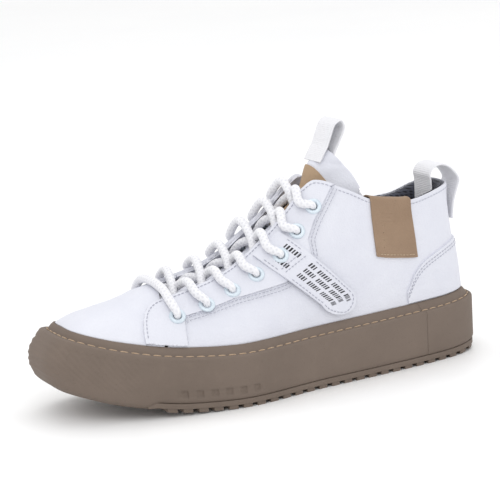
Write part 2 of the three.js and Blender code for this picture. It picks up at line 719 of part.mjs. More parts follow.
// A panel that wraps the heel: columns from the lateral front round to the medial front.
function heelWrap(rows, columns, lowAt, highAt, outer, inner, lean = 1) {
  const place = (c, r) => {
    const side = c < 0.5 ? LATERAL : MEDIAL;
    const share = Math.abs(2 * c - 1);
    const low = lowAt(side, share);
    const high = highAt(side, share);
    return sidePoint(side, mix(low.reach, high.reach, r ** lean), mix(low.z, high.z, r));
  };
  return panel(rows, columns, place, outer, inner);
}
const levelEnd = (front, rise) => (_, share) => {
  const reach = reachAt(share, front);
  return { reach, z: above(reach, rise) };
};
const toplineEnd = (front, drop) => (side, share) => {
  const reach = reachAt(share, front);
  return { reach, z: toplineHeight(side, reach) - drop };
};
const heelPanelRise = curveThrough([
  [92, 8],
  [100, 19],
  [108, 25],
  [118, 29],
  [134, 33.5],
  [UPPER_HALF, 35],
]);
const heelPanelTop = (_, share) => {
  const reach = reachAt(share, 92);
  return { reach, z: above(reach, heelPanelRise(reach)) };
};
add(
  "heel_counter",
  heelWrap(4, 20, levelEnd(COUNTER_FRONT, -LASTING_MARGIN), levelEnd(COUNTER_FRONT + 20, COUNTER_TOP),
    UNDER_LEATHER, UNDER_LEATHER - COUNTER),
  STIFFENER,
);
add(
  "collar_foam",
  heelWrap(4, 26, levelEnd(COLLAR_FOAM_FRONT, FOAM_BOTTOM), toplineEnd(COLLAR_FOAM_FRONT, 0.6),
    UNDER_LEATHER - GAP, UNDER_LEATHER - FOAM),
  FOAM_WHITE,
);
add(
  "quarter_lining",
  heelWrap(8, 32, levelEnd(LINING_FRONT_LOW, -LASTING_MARGIN), toplineEnd(LINING_FRONT_HIGH, 0),
    liningOuter, (p) => liningOuter(p) - LINING, 0.7),
  DARK_MESH,
);
add(
  "heel_panel",
  heelWrap(4, 22, levelEnd(92, 2 * GAP), heelPanelTop, STAY_TOP, GAP),
  WHITE_LEATHER,
);

const TAG_FRONT = 71; // reach of its front edge
const TAG_BACK = 104;
const TAG_DROP = 38; // outside, below the topline
const TAG_INSIDE_DROP = 12;
function collarTag() {
  const rows = 14;
  const columns = 6;
  const insideOffset = FOAM_DEPTH - LINING - 2 * GAP;
  const middle = (GAP + insideOffset) / 2;
  const span = (GAP - insideOffset) / 2;
  const rise = 1.6;
  const layer = (thickness) =>
    grid(rows, columns, (c, r) => {
      const row = Math.round(r * rows);
      const reach = mix(TAG_FRONT, TAG_BACK, c);
      const top = toplineHeight(LATERAL, reach);
      if (row <= 4) {
        const z = top - TAG_DROP * (1 - row / 4);
        return raised(sidePoint(LATERAL, reach, z), GAP + thickness);
      }
      if (row >= rows - 3) {
        const z = top - (TAG_INSIDE_DROP * (row - (rows - 3))) / 3;
        return raised(sidePoint(LATERAL, reach, z), insideOffset - thickness);
      }
      const angle = (Math.PI * (row - 4)) / (rows - 7);
      const offset = middle + (span + thickness) * Math.cos(angle);
      const lift = (rise + thickness) * Math.sin(angle);
      return raised(sidePoint(LATERAL, reach, top), offset).add(new THREE.Vector3(0, 0, lift));
    });
  return shellBetween(layer(OVERLAY), layer(0));
}
add("collar_tag", collarTag(), TAN_LEATHER);

// ---- Strap: a band from the throat edge down across the lateral side, and its short medial twin ----
const strapLower = polyline([
  [0, -17, 50.4],
  [0.25, -8, 40.1],
  [1, 22.5, 13.2],
]);
const strapUpper = polyline([
  [0, 2, 63.2],
  [0.25, 13, 52.8],
  [1, 47.5, 17],
]);
const STRAP_TIP = [5.5, -10.5]; // how far the rounded end reaches past the two straight edges
const STRAP_START = 0.08; // where the band begins, on the throat edge
const HINGE_AT = 0.4;
const MEDIAL_STRAP_END = 0.75;
function strapPoint(side, across, along) {
  const straight = Math.min(along, 1);
  const low = strapLower(straight);
  const high = strapUpper(straight);
  const turn = clamp(along - 1, 0, 1) * 1.4;
  const share = 0.5 + 0.5 * across * Math.cos(turn);
  const x = mix(low[0], high[0], share) + STRAP_TIP[0] * Math.sin(turn);
  const rise = mix(low[1], high[1], share) + STRAP_TIP[1] * Math.sin(turn);
  const z = above(x, rise);
  return sidePoint(side, reachOf(x, z), z);
}
const strapBand = (side, rows, from, to, outer, inner, width = 1) =>
  panel(rows, 5, (c, r) => strapPoint(side, (2 * c - 1) * width, mix(from, to, r)), outer, inner);
const HINGE_GAP = 0.009;
function punchedStrap(side, rows, end) {
  const band = strapBand(side, rows, STRAP_START, end, STRAP_TOP, STRAP_LOW);
  return cut(band, holeTools(side, [STRAP_EYELET]));
}
add("strap_root", punchedStrap(LATERAL, 5, HINGE_AT - HINGE_GAP), WHITE_LEATHER);
add("strap_flap", strapBand(LATERAL, 13, HINGE_AT, 2, STRAP_TOP, STRAP_LOW), WHITE_LEATHER);
add("strap_medial", punchedStrap(MEDIAL, 8, MEDIAL_STRAP_END), WHITE_LEATHER);
const PAD_FROM = 0.8;
const PAD_TO = 1.4;
const hookLow = GAP + PAD_THICKNESS + GAP;
const PAD_WIDTH = 0.8; // share of the strap's width
const pad = (low) => strapBand(LATERAL, 4, PAD_FROM, PAD_TO, low + PAD_THICKNESS, low, PAD_WIDTH);
add("loop_pad", pad(GAP), HOOK_AND_LOOP);
add("hook_pad", pad(hookLow), HOOK_AND_LOOP);

// ---- Tongue: rows climb the ridge, columns run across from wing to wing ----
const TONGUE_FRONT = -76;
const TONGUE_TOP = 50;
const TONGUE_FOAM = 2.2;
const TONGUE_DEPTH = -10.2; // its face, below the surface of the upper, where the laces cross it
const TONGUE_EMERGES = [123, 143]; // heights between which its middle comes up to the surface
const TONGUE_MIDDLE = [6, 24]; // distances from the ridge between which it does so
const wingX = curveThrough([
  [TONGUE_FRONT, TONGUE_FRONT],
  [-30, -28],
  [5, 14],
  [35, 53],
  [TONGUE_TOP, 71],
]);
const wingRise = curveThrough([
  [TONGUE_FRONT, 25],
  [-30, 35],
  [5, 42],
  [35, 60],
  [TONGUE_TOP, 74],
]);
function tonguePlace(c, ridgeX) {
  const a = 2 * c - 1;
  const ridgeZ = ridgeHeight(ridgeX);
  const x = mix(ridgeX, wingX(ridgeX), a * a);
  const z = mix(ridgeZ, above(wingX(ridgeX), wingRise(ridgeX)), a * a);
  return sidePoint(a < 0 ? LATERAL : MEDIAL, reachOf(x, z), z);
}
function tongueFace(p) {
  const fromRidge = Math.abs(p.y - centreLine(p.x));
  const comesUp = step(...TONGUE_EMERGES, p.z) * (1 - step(...TONGUE_MIDDLE, fromRidge));
  return TONGUE_DEPTH * (1 - comesUp);
}
// All its layers share one grid, of which each takes a range of columns and rows.
const TONGUE_GRID = 12;
function tongueLayer(top, bottom, [c0, c1] = [0, TONGUE_GRID], [r0, r1] = [0, TONGUE_GRID]) {
  const place = (c, r) =>
    tonguePlace(mix(c0, c1, c) / TONGUE_GRID, mix(TONGUE_FRONT, TONGUE_TOP, mix(r0, r1, r) / TONGUE_GRID));
  const offset = (extra) => (p) => tongueFace(p) + extra;
  return panel(r1 - r0, c1 - c0, place, offset(top), offset(bottom));
}
const TONGUE_FOAM_TOP = -LEATHER - GAP;
const TONGUE_FOAM_BOTTOM = TONGUE_FOAM_TOP - TONGUE_FOAM;
const TONGUE_LINING_TOP = TONGUE_FOAM_BOTTOM - 2.5 * GAP;
const PATCH_THICKNESS = 0.9;
add("tongue_face", tongueLayer(0, -LEATHER), WHITE_LEATHER);
add("tongue_foam", tongueLayer(TONGUE_FOAM_TOP, TONGUE_FOAM_BOTTOM), FOAM_WHITE);
add("tongue_lining", tongueLayer(TONGUE_LINING_TOP, TONGUE_LINING_TOP - LINING), DARK_MESH);
add("tongue_patch", tongueLayer(GAP + PATCH_THICKNESS, GAP, [3, 9], [8, 11]), TAN_LEATHER);

// ---- Shoelace: one cord, from one tucked end down the rows, across the toe-end bar, and up again ----
const LACE_BELOW = UNDER_FLANGE - FLANGE_ROLL - GAP - LACE_RADIUS_IN_HOLE; // middle of a strand inside
const OVER_FLANGE = FLANGE_HEIGHT + 2 * GAP;
// The cord in and beside a hole, from inside to outside, as [place, radius].
function holePoints(side, row, toward) {
  const place = eyeletPlace(side, row);
  const top = stackTop(row);
  const normal = surfaceNormal(place);
  const aside = toward.clone().sub(place);
  aside.addScaledVector(normal, -aside.dot(normal)).normalize();
  const at = (distanceAside, offset) =>
    place.clone().addScaledVector(normal, offset).addScaledVector(aside, distanceAside);
  return {
    under: [
      [at(9.5, LACE_BELOW + 0.2), LACE_RADIUS_IN_HOLE],
      [at(4.4, LACE_BELOW - 0.3), LACE_RADIUS_IN_HOLE],
      [at(1.1, LACE_BELOW + 0.4), LACE_RADIUS_IN_HOLE],
      [at(0, UNDER_LEATHER + 0.6), LACE_RADIUS_IN_HOLE],
    ],
    over: [
      [at(0, top - 0.4), LACE_RADIUS_IN_HOLE],
      [at(0.9, top + OVER_FLANGE + 1.2), LACE_RADIUS_IN_HOLE],
      [at(4, top + OVER_FLANGE + LACE_RADIUS), 2.2],
      [at(9, top + GAP + 0.7 + LACE_RADIUS), LACE_RADIUS],
    ],
  };
}
const LOWER_STRAND = -6.7; // middle of a crossing, offset from the surface
const UPPER_STRAND = LOWER_STRAND + 2 * LACE_RADIUS + GAP / 2;
const LAST_CROSSING_LIFT = 2; // the top crossing rides up with the tongue
const OVER_STAY = STAY_TOP + LACE_RADIUS + 2 * GAP; // middle of a strand that lies on an eyestay
const OVER_VAMP = LACE_RADIUS + 2 * GAP;
function crossing(fromSide, row) {
  const a = eyeletPlace(fromSide, row);
  const b = eyeletPlace(-fromSide, row + 1);
  const last = row + 1 === lastRow;
  const offset = (fromSide === LATERAL ? UPPER_STRAND : LOWER_STRAND) + (last ? LAST_CROSSING_LIFT : 0);
  const midway = (share, lift) => {
    const x = mix(a.x, b.x, share);
    return [raised(planPoint(x, mix(a.y, b.y, share)), lift), LACE_RADIUS];
  };
  return [
    ...holePoints(fromSide, row, b).under.reverse(),
    midway(0.3, LACE_BELOW + 0.3),
    midway(0.5, offset),
    midway(last ? 0.72 : 0.75, stackTop(row + 1) + 2 * GAP + LACE_RADIUS),
    ...holePoints(-fromSide, row + 1, a).over.reverse(),
  ];
}
const TAIL_LENGTH = 6; // from the last eyelet back to the aglet, inside
const AGLET_LENGTH = 8;
const AGLET_RADIUS = 1.4;
const lastRow = EYELET_X.length - 1;
function tuckedPoint(side, back) {
  const { x, z } = eyeletPlace(side, lastRow);
  return raised(sidePoint(side, reachOf(x + back, z - 0.1 * back), z - 0.1 * back), LACE_BELOW - GAP);
}
function tail(side) {
  const end = tuckedPoint(side, TAIL_LENGTH);
  const { under } = holePoints(side, lastRow, end);
  return [under[3], under[2], [end, LACE_RADIUS_IN_HOLE]];
}
function chain(startSide) {
  const points = [];
  let side = startSide;
  for (let row = 0; row < lastRow; row += 1) {
    points.push(...crossing(side, row));
    side = -side;
  }
  points.push(...tail(side));
  return points;
}
function lacePath() {
  const left = eyeletPlace(LATERAL, 0);
  const right = eyeletPlace(MEDIAL, 0);
  const bar = [
    [0.25, OVER_STAY],
    [0.5, OVER_VAMP],
    [0.75, OVER_STAY],
  ].map(([share, offset]) => {
    const x = mix(left.x, right.x, share) - 1.5 * Math.sin(Math.PI * share);
    return [raised(planPoint(x, mix(left.y, right.y, share)), offset), LACE_RADIUS];
  });
  return [
    ...chain(LATERAL).reverse(),
    ...holePoints(LATERAL, 0, right).over,
    ...bar,
    ...holePoints(MEDIAL, 0, left).over.reverse(),
    ...chain(MEDIAL),
  ];
}
function tubeThrough(path, sides, samplesPerPoint) {
  const curve = new THREE.CatmullRomCurve3(path.map(([p]) => p), false, "centripetal");
  const samples = (path.length - 1) * samplesPerPoint;
  let across = new THREE.Vector3(0, 0, 1);
  const frames = Array.from({ length: samples + 1 }, (_, i) => {
    const t = i / samples;
    const tangent = curve.getTangent(t);
    across = across.clone().addScaledVector(tangent, -across.dot(tangent)).normalize();
    const index = Math.min(Math.floor(t * (path.length - 1)), path.length - 2);
    const scale = mix(path[index][1], path[index + 1][1], t * (path.length - 1) - index);
    const up = new THREE.Vector3().crossVectors(tangent, across);
    return { centre: curve.getPoint(t), across, up, scale };
  });
  return sweep(frames, circle(1, sides));
}
const laceGeometry = tubeThrough(lacePath(), LACE_SIDES, 1);
add("shoelace", laceGeometry, LACE_WHITE);
function aglet(side) {
  const end = tuckedPoint(side, TAIL_LENGTH);
  const direction = tuckedPoint(side, TAIL_LENGTH + AGLET_LENGTH).sub(end).normalize();
  const geometry = new THREE.CylinderGeometry(AGLET_RADIUS, AGLET_RADIUS, AGLET_LENGTH, 8);
  const middle = end.clone().addScaledVector(direction, 2 * GAP + AGLET_LENGTH / 2);
  return geometry.applyMatrix4(
    new THREE.Matrix4().compose(middle, turnTo(direction), new THREE.Vector3(1, 1, 1)),
  );
}
add("aglet_lateral", aglet(LATERAL), AGLET_PLASTIC);
add("aglet_medial", aglet(MEDIAL), AGLET_PLASTIC);

// ---- Pull loops: ribbed webbing bent in the XZ plane ----
function webbing(points, columns) {
  const path = points.map(([x, z]) => new THREE.Vector3(x, 0, z));
  const curve = new THREE.CatmullRomCurve3(path, false, "centripetal");
  const y = centreLine(points[0][0]);
  const frames = Array.from({ length: columns + 1 }, (_, i) => {
    const tangent = curve.getTangent(i / columns);
    const up = new THREE.Vector3(-tangent.z, 0, tangent.x);
    return { centre: curve.getPoint(i / columns).setY(y), across: new THREE.Vector3(0, 1, 0), up };
  });
  const w = WEBBING_WIDTH / 2;
  const t = WEBBING_THICKNESS / 2;
  return sweep(frames, [
    [-w, -t],
    [w, -t],
    [w, t],
    [-w, t],
  ]);
}
const heelTop = toplineHeight(LATERAL, UPPER_HALF);
const heelX = heelReach(heelTop);
const HEEL_ROUNDING = 5; // how far the lining comes forward over half the webbing's width
const innerX = heelX + FOAM_DEPTH - LINING - HEEL_ROUNDING - WEBBING_THICKNESS / 2;
const outerX = heelX + STAY_TOP + WEBBING_THICKNESS / 2;
add(
  "heel_pull_loop",
  webbing(
    [
      [innerX, heelTop + 1],
      [innerX - 0.5, heelTop + 6],
      [innerX + 3, heelTop + 10.5],
      [innerX + 10, heelTop + 11.5],
      [innerX + 16.5, heelTop + 8],
      [outerX + 6.8, heelTop],
      [outerX + 4.8, heelTop - 6],
    ],
    16,
  ),
  WEBBING,
);
add("heel_loop_inner_tail", webbing([[innerX, heelTop - 13], [innerX, heelTop + 1 - GAP]], 1), WEBBING);
add(
  "heel_loop_outer_tail",
  webbing(
    [
      [outerX + 0.6, heelTop - 26],
      [outerX + 1.8, heelTop - 15],
      [outerX + 4.6, heelTop - 6 - 2 * GAP],
    ],
    4,
  ),
  WEBBING,
);
const tongueTop = ridgeHeight(TONGUE_TOP);
add(
  "tongue_pull_loop",
  webbing(
    [
      [TONGUE_TOP - 0.9, tongueTop + 1],
      [TONGUE_TOP + 2.5, tongueTop + 9],
      [TONGUE_TOP + 6, tongueTop + 15.5],
      [TONGUE_TOP + 10.5, tongueTop + 17],
      [TONGUE_TOP + 12.5, tongueTop + 12.5],
      [TONGUE_TOP + 9, tongueTop + 4.5],
      [TONGUE_TOP + 4.4, tongueTop - 3.1],
    ],
    14,
  ),
  WEBBING,
);

// The toe bumper reaches further than the heel, so the whole shoe moves back to stand on the origin.
shoe.position.x = TOE_LEAN / 4;

export default shoe;
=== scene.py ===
"""A left high-top sneaker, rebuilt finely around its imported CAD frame.

Lengths are millimetres in the shoe's own frame until placed() turns them into metres.
"""

import math

import bpy
import numpy as np
from mathutils import Matrix, Vector


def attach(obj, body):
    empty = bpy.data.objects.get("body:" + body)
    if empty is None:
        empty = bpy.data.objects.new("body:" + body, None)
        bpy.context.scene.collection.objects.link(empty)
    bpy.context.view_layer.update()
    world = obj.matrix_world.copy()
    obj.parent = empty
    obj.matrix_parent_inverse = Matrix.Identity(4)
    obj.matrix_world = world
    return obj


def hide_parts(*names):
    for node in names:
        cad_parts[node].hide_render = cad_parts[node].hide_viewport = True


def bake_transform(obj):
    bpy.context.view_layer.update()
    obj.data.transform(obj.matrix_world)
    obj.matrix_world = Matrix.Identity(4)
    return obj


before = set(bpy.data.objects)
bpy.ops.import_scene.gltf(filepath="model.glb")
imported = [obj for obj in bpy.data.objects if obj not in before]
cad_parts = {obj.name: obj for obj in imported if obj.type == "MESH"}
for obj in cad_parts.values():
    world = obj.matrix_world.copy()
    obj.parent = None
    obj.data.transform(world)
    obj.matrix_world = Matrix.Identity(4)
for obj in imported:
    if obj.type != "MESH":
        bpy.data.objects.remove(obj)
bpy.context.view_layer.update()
MM = 0.001

# ---- Driving dimensions, the same as the CAD model's ----
SOLE_LENGTH = 304
HEEL_HALF_WIDTH = 41.3
BALL_HALF_WIDTH = 54
WALL_HEIGHT = 33
GAP = 0.3
LEDGE = 7.8
TOE_WIDENING = 1.75
TOE_LEAN = 10
SHOE_SHIFT = np.array([TOE_LEAN / 4, 0, 0])  # the toe leans out, so the shoe moves back over the origin
RAND_RISE = 6.2
LUG_HEIGHT = 2.5
LUG_PITCH = 9.7
LUG_LENGTH = 5.8
TREAD_PLATE = 3
BOARD_THICKNESS = 2
FOOTBED_THICKNESS = 5
LASTING_MARGIN = 9
LEATHER = 1.4
OVERLAY = 1.3
STRAP_THICKNESS = 1.4
FOAM = 4
LINING = 0.8
COUNTER = 1.5
PUFF = 0.8
LACE_RADIUS = 2.4
LACE_SWELL = 1.2  # the soft braid fills out a little round the strand's working radius
LACE_RADIUS_IN_HOLE = 1.8
BARREL_RADIUS = 3
FLANGE_RADIUS = 5.3
FLANGE_HEIGHT = 1
WEBBING_WIDTH = 22
WEBBING_THICKNESS = 1.6
LATERAL = -1
MEDIAL = 1

# ---- Camera ----
CAMERA_AZIMUTH = math.radians(-26)
CAMERA_ELEVATION = math.radians(12)
CAMERA_ROLL = math.radians(-3.35)
CAMERA_DISTANCE = 1325
CAMERA_LENS = 147.07
CAMERA_TARGET = np.array([-7.3, 1.62, 88.0])


def add_camera():
    az, el, roll = CAMERA_AZIMUTH, CAMERA_ELEVATION, CAMERA_ROLL
    back = Vector((math.sin(az) * math.cos(el), -math.cos(az) * math.cos(el), math.sin(el)))
    right = Vector((math.cos(az), math.sin(az), 0))
    up = back.cross(right)
    side = right * math.cos(roll) + up * math.sin(roll)
    top = up * math.cos(roll) - right * math.sin(roll)
    place = (Vector(CAMERA_TARGET + SHOE_SHIFT) + back * CAMERA_DISTANCE) * MM
    turn = Matrix((side, top, back)).transposed()
    data = bpy.data.cameras.new("camera")
    data.lens = CAMERA_LENS
    data.sensor_width = 36
    data.clip_end = 20
    camera = bpy.data.objects.new("camera", data)
    camera.matrix_world = Matrix.Translation(place) @ turn.to_4x4()
    bpy.context.scene.collection.objects.link(camera)
    bpy.context.scene.camera = camera


add_camera()


# ---- Small maths ----
def mix(a, b, t):
    return a + (b - a) * t


def step(low, high, v):
    t = np.clip((v - low) / (high - low), 0, 1)
    return t * t * (3 - 2 * t)


def curve_through(points):
    """A monotone cubic through (input, output) pairs, held level beyond both ends."""
    xs, ys = np.array(points, float).T
    widths = np.diff(xs)
    slopes = np.diff(ys) / widths
    tangents = np.zeros(len(xs))
    tangents[0], tangents[-1] = slopes[0], slopes[-1]
    for i in range(1, len(xs) - 1):
        if slopes[i - 1] * slopes[i] > 0:
            a = 2 * widths[i] + widths[i - 1]
            b = widths[i] + 2 * widths[i - 1]
            tangents[i] = (a + b) / (a / slopes[i - 1] + b / slopes[i])

    def value(v):
        v = np.clip(np.asarray(v, float), xs[0], xs[-1])
        i = np.clip(np.searchsorted(xs, v, side="right") - 1, 0, len(xs) - 2)
        t = (v - xs[i]) / widths[i]
        rise = widths[i] * (tangents[i] * t * (1 - t) ** 2 - tangents[i + 1] * t * t * (1 - t))
        return ys[i] + (ys[i + 1] - ys[i]) * (t * t * (3 - 2 * t)) + rise

    return value


def polyline(points):
    """Straight runs through rows of (t, a, b, ...)."""
    rows = np.array(points, float)
    return lambda t: [np.interp(t, rows[:, 0], rows[:, k]) for k in range(1, rows.shape[1])]


def unit(v):
    return v / np.maximum(np.linalg.norm(v, axis=-1, keepdims=True), 1e-9)


# ---- The sole's shape ----
SOLE_HALF = SOLE_LENGTH / 2
UPPER_HALF = SOLE_HALF - LEDGE
UPPER_FRONT = SOLE_HALF - LEDGE * TOE_WIDENING
WIDTH_SCALE = BALL_HALF_WIDTH / 54
LATERAL_HALF = curve_through(
    [
        (0, HEEL_HALF_WIDTH), (0.15, HEEL_HALF_WIDTH), (0.42, 44 * WIDTH_SCALE),
        (0.65, BALL_HALF_WIDTH), (0.82, 52.1 * WIDTH_SCALE), (1, 46.4 * WIDTH_SCALE),
    ]
)
MEDIAL_HALF = curve_through(
    [
        (0, HEEL_HALF_WIDTH), (0.15, HEEL_HALF_WIDTH), (0.42, 40 * WIDTH_SCALE),
        (0.68, 50 * WIDTH_SCALE), (0.82, 51.7 * WIDTH_SCALE), (1, 46.8 * WIDTH_SCALE),
    ]
)
lift_along = curve_through([(0, 1.93), (0.1, 0), (0.6, 0), (0.75, 2.06), (0.88, 8.85), (1, 19.9)])
bead_along = curve_through([(0, 3.5), (0.3, 1.9), (0.6, 0.6), (0.8, 2.8), (1, 6.35)])


def heel_to_toe(x):
    return (SOLE_HALF - x) / SOLE_LENGTH


def outline_half(x, side):
    return np.where(side < 0, LATERAL_HALF(heel_to_toe(x)), MEDIAL_HALF(heel_to_toe(x)))


def sole_lift(x):
    return lift_along(heel_to_toe(x))


def bead_height(x):
    return WALL_HEIGHT + bead_along(heel_to_toe(x)) + 0.8 * sole_lift(x)


def feather_height(x):
    return bead_height(x) + RAND_RISE


def toe_shift(x):
    return 8.87 * np.clip((heel_to_toe(x) - 0.55) / 0.45, 0, 1) ** 2


def side_reach(side):
    angle = np.pi * np.arange(401) / 400
    x = SOLE_HALF * np.cos(angle)
    return np.max(outline_half(x, side) * np.sqrt(np.sin(angle)) + side * toe_shift(x))


CENTRING = (side_reach(LATERAL) - side_reach(MEDIAL)) / 2


def outline_centre(x):
    return toe_shift(x) + CENTRING


def outline_reach(inset, at_toe):
    ledge = np.clip(inset, 0, LEDGE)
    return SOLE_HALF - inset - np.where(at_toe, ledge * (TOE_WIDENING - 1), 0)


def outline_point(angle, inset, height):
    """Points of the sole's outline drawn in by inset. The angle runs from the heel round to the toe."""
    x = outline_reach(inset, np.cos(angle) < 0) * np.cos(angle)
    side = np.where(np.sin(angle) >= 0, LATERAL, MEDIAL)
    y = outline_centre(x) + side * (outline_half(x, side) - inset) * np.sqrt(np.abs(np.sin(angle)))
    return np.stack(np.broadcast_arrays(x, y, height(x)), -1)


# ---- The upper's outside surface, as the half width at each place of the side view ----
def above(x, rise):
    return feather_height(x) + rise


RIDGE_RISES = [
    (-134, 4.8), (-128, 9.4), (-118, 14.4), (-102, 21), (-77, 31.7), (-60, 37.1), (-38, 43.3),
    (-25, 49.1), (5, 69.5), (21, 81.7), (35, 93.9), (46, 103.7), (56, 115), (66, 134),
]
RIDGE_START = [(-UPPER_FRONT, float(above(-UPPER_FRONT, 0.2)))]
ridge_height = curve_through(RIDGE_START + [(x, float(above(x, rise))) for x, rise in RIDGE_RISES])
ridge_offset = curve_through([(-130, 0), (-80, 3), (-30, 4.5), (20, 4.5), (60, 2), (90, 0)])
arch_power = curve_through([(-144, 1.3), (-100, 1.25), (-40, 1.4), (0, 1.8), (30, 2.4)])
BACK = float(feather_height(UPPER_HALF))
heel_reach = curve_through(
    [
        (BACK, UPPER_HALF), (BACK + 15, UPPER_HALF - 1.7), (BACK + 30, UPPER_HALF - 3.7),
        (BACK + 47, UPPER_HALF - 5.7), (BACK + 60, UPPER_HALF - 6.9), (BACK + 75, UPPER_HALF - 6.2),
    ]
)


def centre_line(x):
    return outline_centre(x) + ridge_offset(x)


def end_reach(x, z):
    return np.where(x > 0, heel_reach(z), UPPER_FRONT)


def full_half(x, z, side):
    end = np.sqrt(np.sqrt(np.clip(1 - (x / end_reach(x, z)) ** 2, 0, 1)))
    return (outline_half(x, side) - LEDGE) * end - side * ridge_offset(x)


def arch_fraction(x, z):
    base = feather_height(x)
    return np.clip((z - base) / (ridge_height(x) - base), 0, 1) ** arch_power(x)


def half_width(x, z, side):
    return full_half(x, z, side) * np.sqrt(np.maximum(0, 1 - arch_fraction(x, z)))


def height_at(x, y):
    """The height of the surface above a place in plan, on the front of the shoe."""
    side = np.where(y < centre_line(x), LATERAL, MEDIAL)
    base = feather_height(x)
    z = base
    for _ in range(4):
        share = np.clip(np.abs(y - centre_line(x)) / full_half(x, z, side), 0, 1)
        z = base + (ridge_height(x) - base) * (1 - share * share) ** (1 / arch_power(x))
    return z


HEEL_FORM_FROM = 75


def outside(x, y, z):
    """Zero on the surface and positive outside it."""
    side = np.where(y < centre_line(x), LATERAL, MEDIAL)
    square = (y - centre_line(x)) ** 2
    open_share = np.maximum(1e-6, 1 - arch_fraction(x, z))
    low = outline_half(x, side) - LEDGE
    heel = (x / end_reach(x, z)) ** 2 - 1 + (square / (low**2 * open_share)) ** 2
    front = (square - full_half(x, z, side) ** 2 * open_share) / 1000
    return np.where(x > HEEL_FORM_FROM, heel, front)


def surface_normal(p):
    x, y, z = p[..., 0], p[..., 1], p[..., 2]
    d = 0.02
    return unit(
        np.stack(
            [
                outside(x + d, y, z) - outside(x - d, y, z),
                outside(x, y + d, z) - outside(x, y - d, z),
                outside(x, y, z + d) - outside(x, y, z - d),
            ],
            -1,
        )
    )


def raised(p, offset):
    return p + surface_normal(p) * np.asarray(offset)[..., None]


def side_point(side, reach, z):
    """Reach is x, except that behind the middle UPPER_HALF is always the heel line."""
    reach, z = np.broadcast_arrays(np.asarray(reach, float), np.asarray(z, float))
    x = np.where(reach > 0, reach * heel_reach(z) / UPPER_HALF, reach)
    return np.stack(np.broadcast_arrays(x, centre_line(x) + side * half_width(x, z, side), z), -1)


def reach_of(x, z):
    return np.where(x > 0, x * UPPER_HALF / heel_reach(z), x)


def plan_point(x, y):
    x, y = np.broadcast_arrays(np.asarray(x, float), np.asarray(y, float))
    return np.stack([x, y, height_at(x, y)], -1)


INSTEP_HEIGHT = 80


def plan_beside(x, side, lateral_distance):
    scale = full_half(x, INSTEP_HEIGHT, side) / full_half(x, INSTEP_HEIGHT, LATERAL)
    return plan_point(x, centre_line(x) + side * lateral_distance * scale)


# ---- Materials: one function makes each family, from noise in the piece's own coordinates ----
class Nodes:
    """Short names for building a material's node tree."""

    def __init__(self, name):
        self.material = bpy.data.materials.new(name)
        self.material.use_nodes = True
        self.tree = self.material.node_tree
        self.shader = self.tree.nodes["Principled BSDF"]
        self.coordinates = self.add("ShaderNodeTexCoord").outputs["Object"]

    def add(self, kind, **properties):
        node = self.tree.nodes.new(kind)
        for key, value in properties.items():
            setattr(node, key, value)
        return node

    def plug(self, value, socket):
        if isinstance(value, bpy.types.NodeSocket):
            self.tree.links.new(value, socket)
        else:
            socket.default_value = value

    def noise(self, scale, detail=4, roughness=0.5, vector=None):
        node = self.add("ShaderNodeTexNoise")
        self.plug(vector or self.coordinates, node.inputs["Vector"])
        node.inputs["Scale"].default_value = scale
        node.inputs["Detail"].default_value = detail
        node.inputs["Roughness"].default_value = roughness
        return node.outputs["Fac"]

    def cells(self, scale, feature="F1", vector=None):
        node = self.add("ShaderNodeTexVoronoi", feature=feature)
        self.plug(vector or self.coordinates, node.inputs["Vector"])
        node.inputs["Scale"].default_value = scale
        return node.outputs["Distance"]

    def math(self, operation, a, b=0.0, c=None):
        node = self.add("ShaderNodeMath", operation=operation)
        self.plug(a, node.inputs[0])
        self.plug(b, node.inputs[1])
        if c is not None:
            self.plug(c, node.inputs[2])
        return node.outputs[0]

    def ramp(self, value, low, high, out_low=0.0, out_high=1.0):
        node = self.add("ShaderNodeMapRange")
        names = ("Value", "From Min", "From Max", "To Min", "To Max")
        for name, number in zip(names, (value, low, high, out_low, out_high)):
            self.plug(number, node.inputs[name])
        return node.outputs["Result"]

    def blend(self, share, a, b):
        node = self.add("ShaderNodeMix", data_type="RGBA")
        self.plug(share, node.inputs["Factor"])
        self.plug((*a, 1) if isinstance(a, tuple) else a, node.inputs["A"])
        self.plug((*b, 1) if isinstance(b, tuple) else b, node.inputs["B"])
        return node.outputs["Result"]

    def bump(self, height, distance, strength=1.0, normal=None):
        node = self.add("ShaderNodeBump")
        self.plug(height, node.inputs["Height"])
        node.inputs["Distance"].default_value = distance
        node.inputs["Strength"].default_value = strength
        if normal is not None:
            self.plug(normal, node.inputs["Normal"])
        return node.outputs["Normal"]

    def split(self, vector=None):
        node = self.add("ShaderNodeSeparateXYZ")
        self.plug(vector or self.coordinates, node.inputs[0])
        return node.outputs

    def join(self, x, y, z):
        node = self.add("ShaderNodeCombineXYZ")
        for value, socket in zip((x, y, z), node.inputs):
            self.plug(value, socket)
        return node.outputs[0]

    def uv(self):
        return self.add("ShaderNodeUVMap", uv_map="uv").outputs["UV"]

    def finish(self, color, roughness, normal=None, **uniform):
        self.plug((*color, 1) if isinstance(color, tuple) else color, self.shader.inputs["Base Color"])
        self.plug(roughness, self.shader.inputs["Roughness"])
        if normal is not None:
            self.plug(normal, self.shader.inputs["Normal"])
        for key, value in uniform.items():
            self.plug(value, self.shader.inputs[key.replace("_", " ")])
        return self.material


